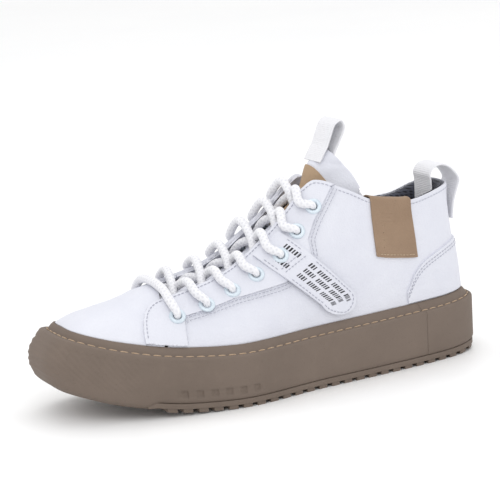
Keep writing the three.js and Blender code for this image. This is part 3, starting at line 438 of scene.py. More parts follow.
def leather(name, color, shade, roughness, grain=1.0, edge_color=None):
    n = Nodes(name)
    pebble = n.cells(900)
    fine = n.noise(2600, 3)
    pores = n.cells(2300)
    broad = n.noise(22, 3, 0.6)
    clouds = n.noise(70, 5, 0.62)
    tone = n.ramp(n.math("ADD", n.math("MULTIPLY", broad, 0.6), n.math("MULTIPLY", clouds, 0.4)), 0.35, 0.65)
    base = n.blend(tone, shade, color)
    wear = n.math("SUBTRACT", n.add("ShaderNodeNewGeometry").outputs["Pointiness"], 0.5)
    worn = n.ramp(wear, 0.01, 0.08, 0.0, 0.35)
    base = n.blend(worn, base, edge_color or color)
    unevenness = n.math("ADD", clouds, n.math("MULTIPLY", pebble, 0.5))
    gloss = n.ramp(unevenness, 0.4, 1.0, roughness - 0.07, roughness + 0.09)
    normal = n.bump(pebble, 0.00022 * grain, 0.5)
    normal = n.bump(n.math("ADD", fine, n.math("MULTIPLY", pores, 0.6)), 0.00012 * grain, 0.45, normal)
    normal = n.bump(n.noise(55, 3, 0.5), 0.0012, 0.35, normal)
    return n.finish(base, gloss, normal, Specular_IOR_Level=0.42)


def rubber(name, color, shade, roughness, speck=0.25):
    n = Nodes(name)
    broad = n.noise(16, 4, 0.6)
    fine = n.noise(1500, 4, 0.7)
    base = n.blend(n.ramp(broad, 0.35, 0.68), shade, color)
    base = n.blend(n.ramp(n.noise(900, 2), 0.62, 0.72, 0, speck), base, tuple(0.6 * v for v in shade))
    scuff = n.ramp(n.noise(130, 5, 0.7), 0.55, 0.8, 0.0, 0.12)
    base = n.blend(scuff, base, tuple(min(1, 1.5 * v) for v in color))
    unevenness = n.math("ADD", n.math("MULTIPLY", broad, 0.6), n.math("MULTIPLY", fine, 0.4))
    gloss = n.ramp(unevenness, 0.3, 0.7, roughness - 0.08, roughness + 0.1)
    normal = n.bump(fine, 0.00010, 0.6)
    normal = n.bump(n.noise(120, 3), 0.0004, 0.25, normal)
    return n.finish(base, gloss, normal, Specular_IOR_Level=0.4)


def weave(name, color, shade, pitch, roughness=0.85, depth=0.0003, sheen=0.3):
    """A plain weave seen along the piece's own X and Z, with thread noise."""
    n = Nodes(name)
    x, y, z = n.split()
    slant = n.math("ADD", x, n.math("MULTIPLY", y, 0.7))
    across = n.math("SINE", n.math("MULTIPLY", slant, 2 * math.pi / pitch))
    along = n.math("SINE", n.math("MULTIPLY", z, 2 * math.pi / pitch))
    height = n.math("MULTIPLY", across, along)
    fuzz = n.noise(3000, 3)
    height = n.math("ADD", n.math("MULTIPLY", height, 0.5), n.math("MULTIPLY", fuzz, 0.5))
    base = n.blend(n.ramp(height, -0.2, 0.7), shade, color)
    gloss = n.ramp(fuzz, 0.3, 0.7, roughness - 0.08, min(1.0, roughness + 0.08))
    return n.finish(base, gloss, n.bump(height, depth, 0.7), Sheen_Weight=sheen)


def spacer_mesh(name, color, hole, pitch):
    """Knitted mesh: round holes in rows, staggered, light thread round each."""
    n = Nodes(name)
    x, y, z = n.split()
    along = n.math("ADD", x, n.math("MULTIPLY", y, 0.8))
    grid = n.join(n.math("DIVIDE", along, pitch), n.math("DIVIDE", z, pitch), 0.0)
    cells = n.add("ShaderNodeTexVoronoi", feature="F1")
    n.plug(grid, cells.inputs["Vector"])
    cells.inputs["Scale"].default_value = 1.0
    cells.inputs["Randomness"].default_value = 0.15
    ring = n.ramp(cells.outputs["Distance"], 0.18, 0.42)
    fuzz = n.noise(2600, 3)
    base = n.blend(ring, hole, color)
    base = n.blend(n.ramp(fuzz, 0.5, 0.8, 0, 0.4), base, tuple(min(1, 1.9 * v) for v in color))
    height = n.math("ADD", ring, n.math("MULTIPLY", fuzz, 0.35))
    gloss = n.ramp(fuzz, 0.3, 0.7, 0.8, 0.95)
    return n.finish(base, gloss, n.bump(height, 0.0005, 0.8), Sheen_Weight=0.25)


def thread(name, color, shade, scale=3500):
    """Twisted thread: fine diagonal strands and fuzz."""
    n = Nodes(name)
    x, y, z = n.split()
    strand = n.math("SINE", n.math("MULTIPLY", n.math("ADD", n.math("ADD", x, y), z), scale * 2.2))
    fuzz = n.noise(scale, 4)
    base = n.blend(n.ramp(n.math("ADD", n.math("MULTIPLY", strand, 0.3), fuzz), 0.3, 0.8), shade, color)
    gloss = n.ramp(fuzz, 0.3, 0.7, 0.6, 0.85)
    return n.finish(base, gloss, n.bump(strand, 0.0001, 0.5), Sheen_Weight=0.2)


def braid(name, color, shade):
    """Yarn fibres along a braid whose crossings are in the mesh, with shade painted into the hollows between them.
    """
    n = Nodes(name)
    u, v, _ = n.split(n.uv())
    fibres = n.noise(900, 4, 0.6, n.join(n.math("MULTIPLY", u, 0.25), v, 0.0))
    fuzz = n.noise(2600, 4)
    # Painted shade: concave places (low pointiness) between the crossings are darkened toward the shade colour.
    painted_hollow_shade = n.ramp(n.add("ShaderNodeNewGeometry").outputs["Pointiness"], 0.42, 0.54)
    lit = n.math("MULTIPLY", painted_hollow_shade, n.ramp(fibres, 0.2, 0.6, 0.75, 1.0))
    base = n.blend(n.ramp(lit, 0.0, 1.0), shade, color)
    gloss = n.ramp(fuzz, 0.3, 0.7, 0.72, 0.9)
    return n.finish(base, gloss, n.bump(n.math("ADD", fibres, fuzz), 0.00018, 0.5), Sheen_Weight=0.3)


def ribbed(name, color, shade):
    """Webbing: fibres along the ribs that the mesh already has."""
    n = Nodes(name)
    u, v, _ = n.split(n.uv())
    fibre = n.math("SINE", n.math("MULTIPLY", v, 2 * math.pi * 1100))
    cross = n.math("SINE", n.math("MULTIPLY", u, 2 * math.pi * 700))
    fuzz = n.noise(2400, 4)
    height = n.math("ADD", n.math("MULTIPLY", n.math("MULTIPLY", fibre, cross), 0.4), fuzz)
    base = n.blend(n.ramp(height, 0.1, 0.8), shade, color)
    gloss = n.ramp(fuzz, 0.3, 0.7, 0.75, 0.92)
    return n.finish(base, gloss, n.bump(height, 0.00015, 0.5), Sheen_Weight=0.3)


def enamel(name, color, shade):
    n = Nodes(name)
    broad = n.noise(260, 3)
    base = n.blend(n.ramp(broad, 0.35, 0.65), shade, color)
    scratch = n.noise(1800, 5, 0.7)
    gloss = n.ramp(scratch, 0.3, 0.75, 0.22, 0.42)
    return n.finish(base, gloss, n.bump(scratch, 0.00004, 0.3), Metallic=0.15, Coat_Weight=0.3)


def fibre_board(name, color, shade, scale=700):
    n = Nodes(name)
    fibres = n.noise(scale, 5, 0.7)
    base = n.blend(n.ramp(fibres, 0.35, 0.65), shade, color)
    gloss = n.ramp(fibres, 0.3, 0.7, 0.8, 0.95)
    return n.finish(base, gloss, n.bump(fibres, 0.0002, 0.5))


def floor_look(name):
    n = Nodes(name)
    broad = n.noise(3, 3)
    base = n.blend(n.ramp(broad, 0.3, 0.7), (0.93, 0.93, 0.935), (0.95, 0.95, 0.95))
    gloss = n.ramp(n.noise(40, 4), 0.3, 0.7, 0.5, 0.6)
    return n.finish(base, gloss, n.bump(n.noise(400, 3), 0.0001, 0.2))


WHITE_LEATHER = leather("white_leather", (0.70, 0.71, 0.77), (0.65, 0.66, 0.73), 0.46)
TAN_LEATHER = leather("tan_leather", (0.31, 0.21, 0.138), (0.25, 0.165, 0.105), 0.66, 1.6, (0.42, 0.3, 0.2))
PATCH_LEATHER = leather("patch_leather", (0.43, 0.30, 0.19), (0.36, 0.25, 0.155), 0.6, 1.4)
SOLE_RUBBER = rubber("sole_rubber", (0.172, 0.132, 0.106), (0.145, 0.110, 0.087), 0.66)
DARK_MESH = spacer_mesh("dark_mesh", (0.05, 0.053, 0.075), (0.008, 0.008, 0.012), 0.0021)
KNIT_LINING = weave("knit_lining", (0.05, 0.05, 0.068), (0.02, 0.02, 0.03), 0.0016)
CUT_FOAM = fibre_board("cut_foam", (0.68, 0.68, 0.64), (0.55, 0.55, 0.5), 1500)
BOARD = fibre_board("fibre_board", (0.48, 0.39, 0.27), (0.36, 0.28, 0.18))
STIFFENER = fibre_board("stiffener", (0.58, 0.53, 0.45), (0.47, 0.42, 0.35), 1100)
SOLE_THREAD = thread("sole_thread", (0.58, 0.42, 0.28), (0.42, 0.29, 0.18))
# White thread given a grey colour: the darkening is painted shade standing in for the shaded stitch holes and
# grooves along the rows.
SHADED_WHITE_THREAD = thread("shaded_white_thread", (0.52, 0.53, 0.60), (0.34, 0.35, 0.42))
TAN_THREAD = thread("tan_thread", (0.62, 0.48, 0.33), (0.42, 0.3, 0.2))
# The second colour is the painted shade in the braid's hollows.
LACE_BRAID = braid("lace_braid", (0.88, 0.88, 0.90), (0.42, 0.42, 0.48))
WEBBING = ribbed("webbing", (0.86, 0.86, 0.88), (0.6, 0.6, 0.64))
EYELET_ENAMEL = enamel("eyelet_enamel", (0.66, 0.74, 0.80), (0.58, 0.66, 0.73))
AGLET_PLASTIC = enamel("aglet_plastic", (0.86, 0.86, 0.86), (0.78, 0.78, 0.8))
HOOK_AND_LOOP = weave("hook_and_loop", (0.62, 0.62, 0.66), (0.36, 0.36, 0.4), 0.0011, 0.95, 0.0006, 0.5)
PRINT_INK = rubber("print_ink", (0.03, 0.03, 0.035), (0.02, 0.02, 0.024), 0.5, 0.0)


# ---- Meshes ----
def placed(points):
    """Working millimetres to metres in the shared frame."""
    return (np.asarray(points, float) + SHOE_SHIFT) * MM


def make_piece(name, points, faces, look, body="root", slot=None, uv=None, bevel=0.0, smooth=True):
    mesh = bpy.data.meshes.new(name)
    mesh.from_pydata(placed(points).tolist(), [], [tuple(int(i) for i in f) for f in faces])
    mesh.update()
    if uv is not None:
        layer = mesh.uv_layers.new(name="uv")
        index = np.empty(len(mesh.loops), np.int64)
        mesh.loops.foreach_get("vertex_index", index)
        layer.data.foreach_set("uv", np.asarray(uv, float)[index].ravel())
    piece = bpy.data.objects.new(name, mesh)
    bpy.context.scene.collection.objects.link(piece)
    mesh.materials.append(look)
    if bevel:
        modifier = piece.modifiers.new("edge", "BEVEL")
        modifier.width = bevel * MM
        modifier.segments = 3
        modifier.limit_method = "ANGLE"
        modifier.angle_limit = math.radians(40)
        modifier.harden_normals = False
    if smooth:
        mesh.polygons.foreach_set("use_smooth", [True] * len(mesh.polygons))
    if body:
        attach(piece, body)
    return piece


def shell(outer, inner, seam=False):
    """Points and quads of a closed shell between two grids. With a seam, the last row has no wall."""
    rows, columns = outer.shape[:2]
    half = rows * columns
    index = np.arange(half).reshape(rows, columns)
    faces = []

    def quads(a, b, c, d):
        faces.extend(np.stack([a, b, c, d], -1).reshape(-1, 4).tolist())

    top, low = index, index + half
    quads(top[:-1, :-1], top[:-1, 1:], top[1:, 1:], top[1:, :-1])
    quads(low[:-1, :-1], low[1:, :-1], low[1:, 1:], low[:-1, 1:])
    quads(top[0, :-1], low[0, :-1], low[0, 1:], top[0, 1:])
    if not seam:
        quads(top[-1, :-1], top[-1, 1:], low[-1, 1:], low[-1, :-1])
    quads(top[:-1, 0], top[1:, 0], low[1:, 0], low[:-1, 0])
    quads(top[:-1, -1], low[:-1, -1], low[1:, -1], top[1:, -1])
    points = np.concatenate([outer.reshape(-1, 3), inner.reshape(-1, 3)])
    a, b, c = (points[np.array(faces)[:, k]] for k in range(3))
    if np.sum(a * np.cross(b, c)) < 0:
        faces = [f[::-1] for f in faces]
    return points, faces


def spread(count, edge=0.0):
    """Shares from 0 to 1, a little closer together at both ends when edge is above 0."""
    t = np.linspace(0, 1, count + 1)
    return t - edge * np.sin(2 * np.pi * t) / (2 * np.pi)


def base_grid(rows, columns, place, edge=0.0):
    c, r = np.meshgrid(spread(columns, edge), spread(rows, edge))
    return place(c, r)


def soften(p):
    """A very slight unevenness that all the layers share, as soft leather over a last has."""
    x, y, z = p[..., 0], p[..., 1], p[..., 2]
    waves = np.sin(0.11 * x + 0.07 * z + 0.6) * np.sin(0.09 * z - 0.05 * y + 1.3)
    ripples = np.sin(0.31 * x - 0.19 * z + 0.4 * np.sin(0.13 * y)) * np.sin(0.27 * z + 0.11 * x)
    return 0.22 * waves + 0.09 * ripples


def value(offset, p):
    return offset(p) if callable(offset) else np.full(p.shape[:-1], float(offset))


def panel(name, rows, columns, place, outer, inner, look, seam=False, soft=1.0, bevel=0.45, **options):
    base = base_grid(rows, columns, place)
    shift = soft * soften(base)
    top = raised(base, value(outer, base) + shift)
    low = raised(base, value(inner, base) + shift)
    points, faces = shell(top, low, seam)
    return make_piece(name, points, faces, look, bevel=bevel, **options)


def tube(points, radii, sides, twist=None, closed=False):
    """Rings round a path. Gives points, quads and (length along, share round) for each point."""
    points = np.asarray(points, float)
    tangent = unit(np.gradient(points, axis=0))
    if closed:
        tangent = unit(np.roll(points, -1, 0) - np.roll(points, 1, 0))
    across = np.empty_like(points)
    side = np.array([0.0, 0, 1])
    for i, t in enumerate(tangent):
        side = side - t * side.dot(t)
        side /= np.linalg.norm(side)
        across[i] = side
    up = np.cross(tangent, across)
    along = np.concatenate([[0], np.cumsum(np.linalg.norm(np.diff(points, axis=0), axis=1))])
    angle = 2 * np.pi * np.arange(sides) / sides
    radius = np.broadcast_to(np.asarray(radii, float)[:, None], (len(points), sides)).copy()
    if twist is not None:
        radius *= twist(along[:, None], angle[None, :])
    rings = (
        points[:, None]
        + across[:, None] * (np.cos(angle)[None, :, None] * radius[..., None])
        + up[:, None] * (np.sin(angle)[None, :, None] * radius[..., None])
    )
    index = np.arange(len(points) * sides).reshape(len(points), sides)
    nxt = np.roll(index, -1, axis=1)
    faces = np.stack([index[:-1], nxt[:-1], nxt[1:], index[1:]], -1).reshape(-1, 4).tolist()
    if not closed:
        faces.append(index[0][::-1].tolist())
        faces.append(index[-1].tolist())
    uv = np.stack(np.broadcast_arrays(along[:, None] * MM, (angle[None, :] / (2 * np.pi)) * 0.015), -1)
    return rings.reshape(-1, 3), faces, uv.reshape(-1, 2)


def gather(parts):
    """Joins (points, faces) pairs into one."""
    points, faces, start = [], [], 0
    for part_points, part_faces in parts:
        points.append(part_points)
        faces.extend([[i + start for i in f] for f in part_faces])
        start += len(part_points)
    return np.concatenate(points), faces


def resample(points, spacing):
    points = np.asarray(points, float)
    along = np.concatenate([[0], np.cumsum(np.linalg.norm(np.diff(points, axis=0), axis=1))])
    count = max(2, int(round(along[-1] / spacing)) + 1)
    at = np.linspace(0, along[-1], count)
    return np.stack([np.interp(at, along, points[:, k]) for k in range(3)], -1), at


def stitch_shape(a, b, normal, radius):
    """One stitch: a short thread that rises out of its hole at each end."""
    direction = b - a
    lift = np.array([-0.9, 0.1, 0.75, 0.9, 0.75, 0.1, -0.9]) * radius
    share = np.array([0, 0.06, 0.25, 0.5, 0.75, 0.94, 1.0])
    width = np.array([0.45, 0.85, 1.0, 1.0, 1.0, 0.85, 0.45]) * radius
    centres = a + share[:, None] * direction + lift[:, None] * normal
    points, faces, _ = tube(centres, width, 6)
    return points, faces


def stitches(name, rows, size, offset, look, body="root", slot="white_leather"):
    """Rows of stitches of a (pitch, length, radius) along paths of surface points, each raised by offset."""
    pitch, length, radius = size
    parts = []
    for path in rows:
        fine, at = resample(path, 0.5)
        total = at[-1]
        count = max(1, int(total // pitch))
        start = (total - count * pitch + (pitch - length)) / 2
        for k in range(count):
            ends = [start + k * pitch, start + k * pitch + length]
            a, b = (np.array([np.interp(e, at, fine[:, d]) for d in range(3)]) for e in ends)
            pair = np.stack([a, b])
            normals = surface_normal(pair)
            lifted = pair + normals * (offset + soften(pair))[:, None]
            parts.append(stitch_shape(lifted[0], lifted[1], unit(normals.mean(0)), radius))
    points, faces = gather(parts)
    return make_piece(name, points, faces, look, body=body, slot=slot)


# ---- Sole ----
FIRST_LUG_X = -97
TOE_PLATE_DROP = 1.3


def tread_low(x):
    return sole_lift(x) + LUG_HEIGHT - TOE_PLATE_DROP * step(-FIRST_LUG_X, -FIRST_LUG_X + 8, -x)


def tread_high(x):
    return sole_lift(x) + LUG_HEIGHT + TREAD_PLATE


def wall_foot(x):
    """The wall's lower edge: on the tread plate, but wrapped down round it at the toe."""
    return tread_high(x) - (TREAD_PLATE + 0.9) * step(-FIRST_LUG_X - 2, -FIRST_LUG_X + 8, -x)


def plate_grid(inset, height, rows, columns, start=0.0, end=math.pi):
    angle = np.clip(np.linspace(start, end, rows + 1), 0.02, math.pi - 0.02)
    share = np.linspace(0, 1, columns + 1)
    left = outline_point(angle, inset, height)
    right = outline_point(-angle, inset, height)
    grid = mix(left[:, None], right[:, None], share[None, :, None])
    grid[..., 2] = height(grid[..., 0])
    return grid


def plate(inset, low, high, rows, columns, start=0.0, end=math.pi):
    top, bottom = (plate_grid(inset, height, rows, columns, start, end) for height in (high, low))
    return shell(top, bottom)


TREAD_INSET = 2.4
TREAD_RIM_INSET = 0.6
TREAD_RIM_FRONT = -103
LUG_INSET = 1.2
LUG_REACH_INSET = 1.4
LUG_ROOT = 0.5  # how far a lug runs up into the plate


def build_tread():
    top = lambda x: tread_high(x) + GAP
    rim_end = math.acos(TREAD_RIM_FRONT / outline_reach(TREAD_RIM_INSET, True))
    parts = [
        plate(TREAD_INSET, tread_low, top, 90, 8),
        plate(TREAD_RIM_INSET, tread_low, top, 90, 8, 0, rim_end),
    ]
    x = SOLE_HALF - LUG_REACH_INSET - LUG_LENGTH / 2 - 3
    while x > FIRST_LUG_X:
        reach = outline_reach(LUG_REACH_INSET, x < 0)
        start, end = (math.acos(at / reach) for at in (x + LUG_LENGTH / 2, x - LUG_LENGTH / 2))
        parts.append(plate(LUG_INSET, sole_lift, lambda at: tread_low(at) + LUG_ROOT, 2, 6, start, end))
        x -= LUG_PITCH
    points, faces = gather(parts)
    piece = make_piece("tread", points, faces, SOLE_RUBBER, slot="sole_rubber", bevel=0.5)
    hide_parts("tread_outsole")


# The wall's section from the foot of its outside up over bead, stitch groove and lip: inset, height, and the
# share of the toe's lean by which it stands out there.
WALL_SECTION = [
    (3.6, lambda x: wall_foot(x) + 0.1, -0.15),
    (1.4, lambda x: wall_foot(x) + 0.3, -0.05),
    (0.5, lambda x: wall_foot(x) + 1.2, 0.0),
    (0.1, lambda x: wall_foot(x) + 2.4, 0.08),
    (0.0, lambda x: wall_foot(x) + 3.6, 0.16),
    (0.0, lambda x: bead_height(x) - 3.0, -0.3),
    (0.0, lambda x: bead_height(x) - 1.5, -0.38),
    (0.12, lambda x: bead_height(x) - 0.6, -0.42),
    (0.5, lambda x: bead_height(x) + 0.25, -0.47),
    (1.15, lambda x: bead_height(x) + 0.75, -0.49),
    (1.9, lambda x: bead_height(x) + 0.85, -0.45),
    (2.5, lambda x: bead_height(x) + 0.45, -0.41),
    (2.9, lambda x: bead_height(x) + 0.3, -0.39),
    (3.4, lambda x: bead_height(x) + 0.95, -0.36),
    (4.1, lambda x: bead_height(x) + 2.4, -0.31),
    (5.0, lambda x: bead_height(x) + 4.0, -0.24),
    (6.2, lambda x: bead_height(x) + 5.4, -0.14),
    (LEDGE - 0.9, lambda x: feather_height(x) - 0.15, -0.06),
    (LEDGE - 0.25, lambda x: feather_height(x) - 0.3, -0.02),
    (LEDGE + 0.4, lambda x: feather_height(x) - 2.5, 0.0),
]
lean_up_the_wall = curve_through([(0, 0.14), (0.1, 0.28), (0.3, 0.5), (0.5, 0.48), (0.75, 0.15), (1, -0.38)])


def toe_lean(angle):
    return TOE_LEAN * np.maximum(0, -np.cos(angle)) ** 3


def wall_point(angle, inset, height, share):
    place = outline_point(angle, inset, height)
    place[..., 0] -= share * toe_lean(angle)
    place[..., 2] = height(place[..., 0])
    return place


WALL_FOOT_ROW = 4
WALL_TOP_ROW = 6
WALL_FACE_ROWS = 26
BUMPER_SEAM_X = 103
SLOT_PANEL = (-86, -29)
SLOT_BAND = (0.6, 8.8)
SLOT_COUNT = 6


def sidewall_relief(x, height, side):
    """Depth drawn into the wall: the slotted panel on the outer side and the fine toe ribs."""
    depth = np.zeros_like(x)
    start, end = SLOT_PANEL
    rise = height - tread_high(x)
    low, high = SLOT_BAND
    inside_panel = step(start, start + 1, x) * (1 - step(end - 1, end, x))
    inside_panel = inside_panel * step(low, low + 0.8, rise) * (1 - step(high - 0.8, high, rise))
    phase = ((x - start) / (end - start) * SLOT_COUNT) % 1.0
    slot_shape = step(0.3, 0.42, phase) * (1 - step(0.72, 0.84, phase))
    frame_line = inside_panel * 0.35
    depth += np.where(side < 0, frame_line + 0.9 * slot_shape * inside_panel, 0.0)
    rib = 0.5 + 0.5 * np.sin(2 * np.pi * (x * 0.9 + height * 0.75) / 3.1)
    toe = (1 - step(-112, -100, x)) * step(3.5, 5.5, rise)
    toe = toe * (1 - step(0.0, 1.0, height - (bead_height(x) - 4.5)))
    depth += 0.32 * rib * toe
    line = np.exp(-(((height - (bead_height(x) - 5.5)) / 0.45) ** 2)) * (1 - step(-100, -90, x))
    return depth + 0.3 * line


def build_wall(name, node, start, end, columns):
    angle = np.linspace(start, end, columns + 1)
    x_row = SOLE_HALF * np.cos(angle)
    side = np.where(np.sin(angle) >= 0, LATERAL, MEDIAL)
    rings = []
    for row, (inset, height, share) in enumerate(WALL_SECTION):
        if row == WALL_TOP_ROW:
            low_height = WALL_SECTION[WALL_FOOT_ROW][1]
            for k in range(1, WALL_FACE_ROWS):
                up = k / WALL_FACE_ROWS
                place_height = lambda x, s=up: mix(low_height(x), bead_height(x) - 1.5, s)
                depth = sidewall_relief(x_row, place_height(x_row), side)
                rings.append(wall_point(angle, depth, place_height, lean_up_the_wall(up)))
        if row == WALL_TOP_ROW - 1:
            continue
        rings.append(wall_point(angle, np.full_like(angle, float(inset)), height, share))
    outer = np.stack(rings, 1)
    index = np.arange(outer.shape[0] * outer.shape[1]).reshape(outer.shape[:2])
    corners = [index[:-1, :-1], index[1:, :-1], index[1:, 1:], index[:-1, 1:]]
    faces = np.stack(corners, -1).reshape(-1, 4).tolist()
    back = outline_point(angle, np.full_like(angle, LEDGE - GAP), tread_high)
    points = np.concatenate([outer.reshape(-1, 3), back])
    start_index = len(points) - len(back)
    last = outer.shape[1] - 1
    for r in range(outer.shape[0] - 1):
        faces.append([index[r, last], index[r + 1, last], start_index + r + 1, start_index + r])
        faces.append([index[r, 0], start_index + r, start_index + r + 1, index[r + 1, 0]])
    for r, turn in ((0, 1), (outer.shape[0] - 1, -1)):
        ring = [start_index + r] + index[r].tolist()
        faces.append(ring[::turn])
    piece = make_piece(name, points, faces, SOLE_RUBBER, slot="sole_rubber")
    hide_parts(node)


SEAM_ANGLE = math.acos(BUMPER_SEAM_X / SOLE_HALF)
SEAM_GAP = 0.004  # radians between the cup wall's ends and the heel bumper's
SOLE_STITCH = (6.9, 4.9, 0.42)  # pitch, length and thread radius, and so for the two below
WHITE_STITCH = (2.7, 1.9, 0.26)
TAG_STITCH = (2.6, 1.9, 0.28)


def build_sole_stitches():
    angle = np.linspace(0, 2 * np.pi, 1400)
    path = wall_point(angle, np.full_like(angle, 2.95), lambda x: bead_height(x) + 0.75, -0.39)
    outer = wall_point(angle, np.full_like(angle, 1.95), lambda x: bead_height(x) + 0.2, -0.39)

    def normal_at(p):
        gap = ((p[:, None, :] - path[None]) ** 2).sum(-1)
        nearest = gap.argmin(1)
        return unit(outer[nearest] - path[nearest] + np.array([0, 0, 1.4]))

    fine, at = resample(path, 0.5)
    pitch, length, radius = SOLE_STITCH
    count = int(round(at[-1] / pitch))
    parts = []
    for k in range(count):
        ends = [k * at[-1] / count, k * at[-1] / count + length]
        a, b = (np.array([np.interp(e, at, fine[:, d]) for d in range(3)]) for e in ends)
        parts.append(stitch_shape(a, b, normal_at(np.stack([a, b])).mean(0), radius))
    points, faces = gather(parts)
    piece = make_piece("sole_stitches", points, faces, SOLE_THREAD, slot="thread")
    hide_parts("rand_stitching")


def core_high(x):
    return feather_height(x) - LASTING_MARGIN - GAP


def board_high(x):
    return core_high(x) + GAP + BOARD_THICKNESS


def footbed_high(x):
    return board_high(x) + GAP + FOOTBED_THICKNESS


INSIDE_INSET = LEDGE + LEATHER + COUNTER + LINING + 4 * GAP + 2.6


def build_footbed():
    rows, columns = 100, 30
    top = plate_grid(INSIDE_INSET, footbed_high, rows, columns)
    low = plate_grid(INSIDE_INSET, lambda x: board_high(x) + GAP, rows, columns)
    share = np.linspace(-1, 1, columns + 1)[None, :]
    along = np.linspace(0, 1, rows + 1)[:, None]
    edge = np.minimum(1, np.minimum(1 - np.abs(share), np.minimum(along, 1 - along) * 3) * 8)
    heel_hollow = 0.7 * np.exp(-(((top[..., 0] - 95) / 25) ** 2)) * (1 - share**2)
    top[..., 2] -= 0.9 * (1 - edge) ** 2 + heel_hollow
    points, faces = shell(top, low)
    piece = make_piece("footbed_top", points, faces, KNIT_LINING, slot="dark_mesh", bevel=0.4)
    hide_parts("footbed")


build_tread()
build_wall("cup_wall", "cup_sidewall", SEAM_ANGLE + SEAM_GAP, 2 * math.pi - SEAM_ANGLE - SEAM_GAP, 1100)
build_wall("heel_wall", "heel_bumper", -SEAM_ANGLE, SEAM_ANGLE, 300)
build_sole_stitches()
build_footbed()

# ---- Vamp ----
VAMP_BACK_LOW = -88
VAMP_BACK_HIGH = -72
VAMP_FAN = -124
FOLD_SHARE = 0.08  # the share of a panel's rows that turn down into the cup
VAMP_ANGLE = math.acos(VAMP_BACK_LOW / UPPER_FRONT)
UNDER_LEATHER = -LEATHER - GAP
PUFF_TOP = UNDER_LEATHER - 3 * GAP
UNDER_PUFF = PUFF_TOP - PUFF - 5 * GAP


def vamp_place(c, inward):
    """Rows climb from the feather line (0) to the ridge (1); below 0 is millimetres down into the cup."""
    angle = mix(VAMP_ANGLE, 2 * math.pi - VAMP_ANGLE, c)
    foot = outline_point(angle, np.full_like(angle, float(LEDGE)), feather_height)
    ridge_x = mix(VAMP_BACK_HIGH, VAMP_FAN, (1 - np.abs(2 * c - 1)) ** 0.8)
    share = np.clip(inward, 0, 1) ** 1.5
    x = mix(foot[..., 0], ridge_x, share)
    y = mix(foot[..., 1], centre_line(ridge_x), share)
    up = plan_point(x, y)
    down = foot.copy()
    down[..., 2] += np.minimum(inward, 0)
    return np.where((inward <= 0)[..., None], down, up)


def vamp_layer(name, rows, columns, outer, inner, look, node, soft=1.0, **options):
    def place(c, r):
        folded = (r / FOLD_SHARE - 1) * LASTING_MARGIN
        inward = np.where(r < FOLD_SHARE, folded, (r - FOLD_SHARE) / (1 - FOLD_SHARE))
        return vamp_place(c, inward)

    piece = panel(name, rows, columns, place, outer, inner, look, seam=True, soft=soft, **options)
    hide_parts(node)
    return piece


vamp_layer("vamp_leather", 75, 260, 0, -LEATHER, WHITE_LEATHER, "vamp", slot="white_leather")
lining_faces = (UNDER_PUFF, UNDER_PUFF - LINING)
vamp_layer("vamp_inside", 40, 120, *lining_faces, KNIT_LINING, "vamp_lining", slot="dark_mesh", bevel=0)

# ---- Topline and throat ----
CORNER_REACH = 23.4
topline_rise = curve_through(
    [
        (CORNER_REACH, 78.9), (29.4, 83.6), (38.8, 88.6), (54.5, 82.8), (72.4, 73.9), (88, 70.5),
        (105, 68.2), (130, 71), (UPPER_HALF, 72.4),
    ]
)
MEDIAL_DIP = 4


def topline_height(side, reach):
    dip = MEDIAL_DIP * step(50, 85, reach) * (1 - step(115, 140, reach))
    return above(reach, topline_rise(reach) - np.where(np.asarray(side) == MEDIAL, dip, 0))


THROAT_FRONT = -70
THROAT_BACK = CORNER_REACH - 1.1
throat_half = curve_through(
    [(THROAT_FRONT, 21), (-54, 21.5), (-35, 20), (-17, 18.5), (0, 17), (12, 15.5), (THROAT_BACK, 14)]
)


def throat_edge(side, x):
    z = plan_beside(x, side, throat_half(x))[..., 2]
    return reach_of(x, z), z


# ---- Quarters ----
QUARTER_FRONT = -86
TOPLINE_SHARE = 0.6


def angle_of(reach):
    return np.arccos(np.clip(reach / UPPER_HALF, -1, 1))


def reach_at(share, front):
    return UPPER_HALF * np.cos(share * angle_of(front))


def quarter_top(side, c):
    top_reach = reach_at(np.minimum(c / TOPLINE_SHARE, 1), CORNER_REACH)
    top_z = topline_height(side, top_reach)
    along = np.clip((c - TOPLINE_SHARE) / (1 - TOPLINE_SHARE), 0, 1)
    throat_reach, throat_z = throat_edge(side, mix(THROAT_BACK, THROAT_FRONT, along))
    on_top = c <= TOPLINE_SHARE
    return np.where(on_top, top_reach, throat_reach), np.where(on_top, top_z, throat_z)


def quarter_place(side):
    def place(c, r):
        low = reach_at(c, QUARTER_FRONT)
        low_z = feather_height(low)
        high, high_z = quarter_top(side, c)
        v = np.clip((r - FOLD_SHARE) / (1 - FOLD_SHARE), 0, 1)
        drop = np.where(r < FOLD_SHARE, (1 - r / FOLD_SHARE) * LASTING_MARGIN, 0)
        return side_point(side, mix(low, high, v), mix(low_z, high_z, v) - drop)

    return place


# ---- Eyelets ----
EYELET_X = [-74.8, -54.3, -35, -17, 1, 16, 30]
eyelet_line = curve_through(list(zip(EYELET_X, [34, 34.2, 32.4, 31.2, 30.4, 26.8, 24.3])))
STRAP_EYELET = 4
EYELET_BORE = 2.5
PUNCH_RADIUS = 3.2
PUNCH_REACH = 9
PUNCH_SIDES = 32
STAY_TOP = GAP + OVERLAY
STRAP_LOW = STAY_TOP + 2 * GAP
STRAP_TOP = STRAP_LOW + STRAP_THICKNESS
LAST_ROW = len(EYELET_X) - 1


def eyelet_place(side, row):
    return plan_beside(np.float64(EYELET_X[row]), side, eyelet_line(EYELET_X[row]))


def stack_top(row):
    return STRAP_TOP if row == STRAP_EYELET else STAY_TOP


def eyelet_axes(side, row):
    place = eyelet_place(side, row)
    normal = surface_normal(place)
    first = unit(np.cross(normal, [0.0, 0.3, 1.0]))
    return place, normal, first, np.cross(normal, first)


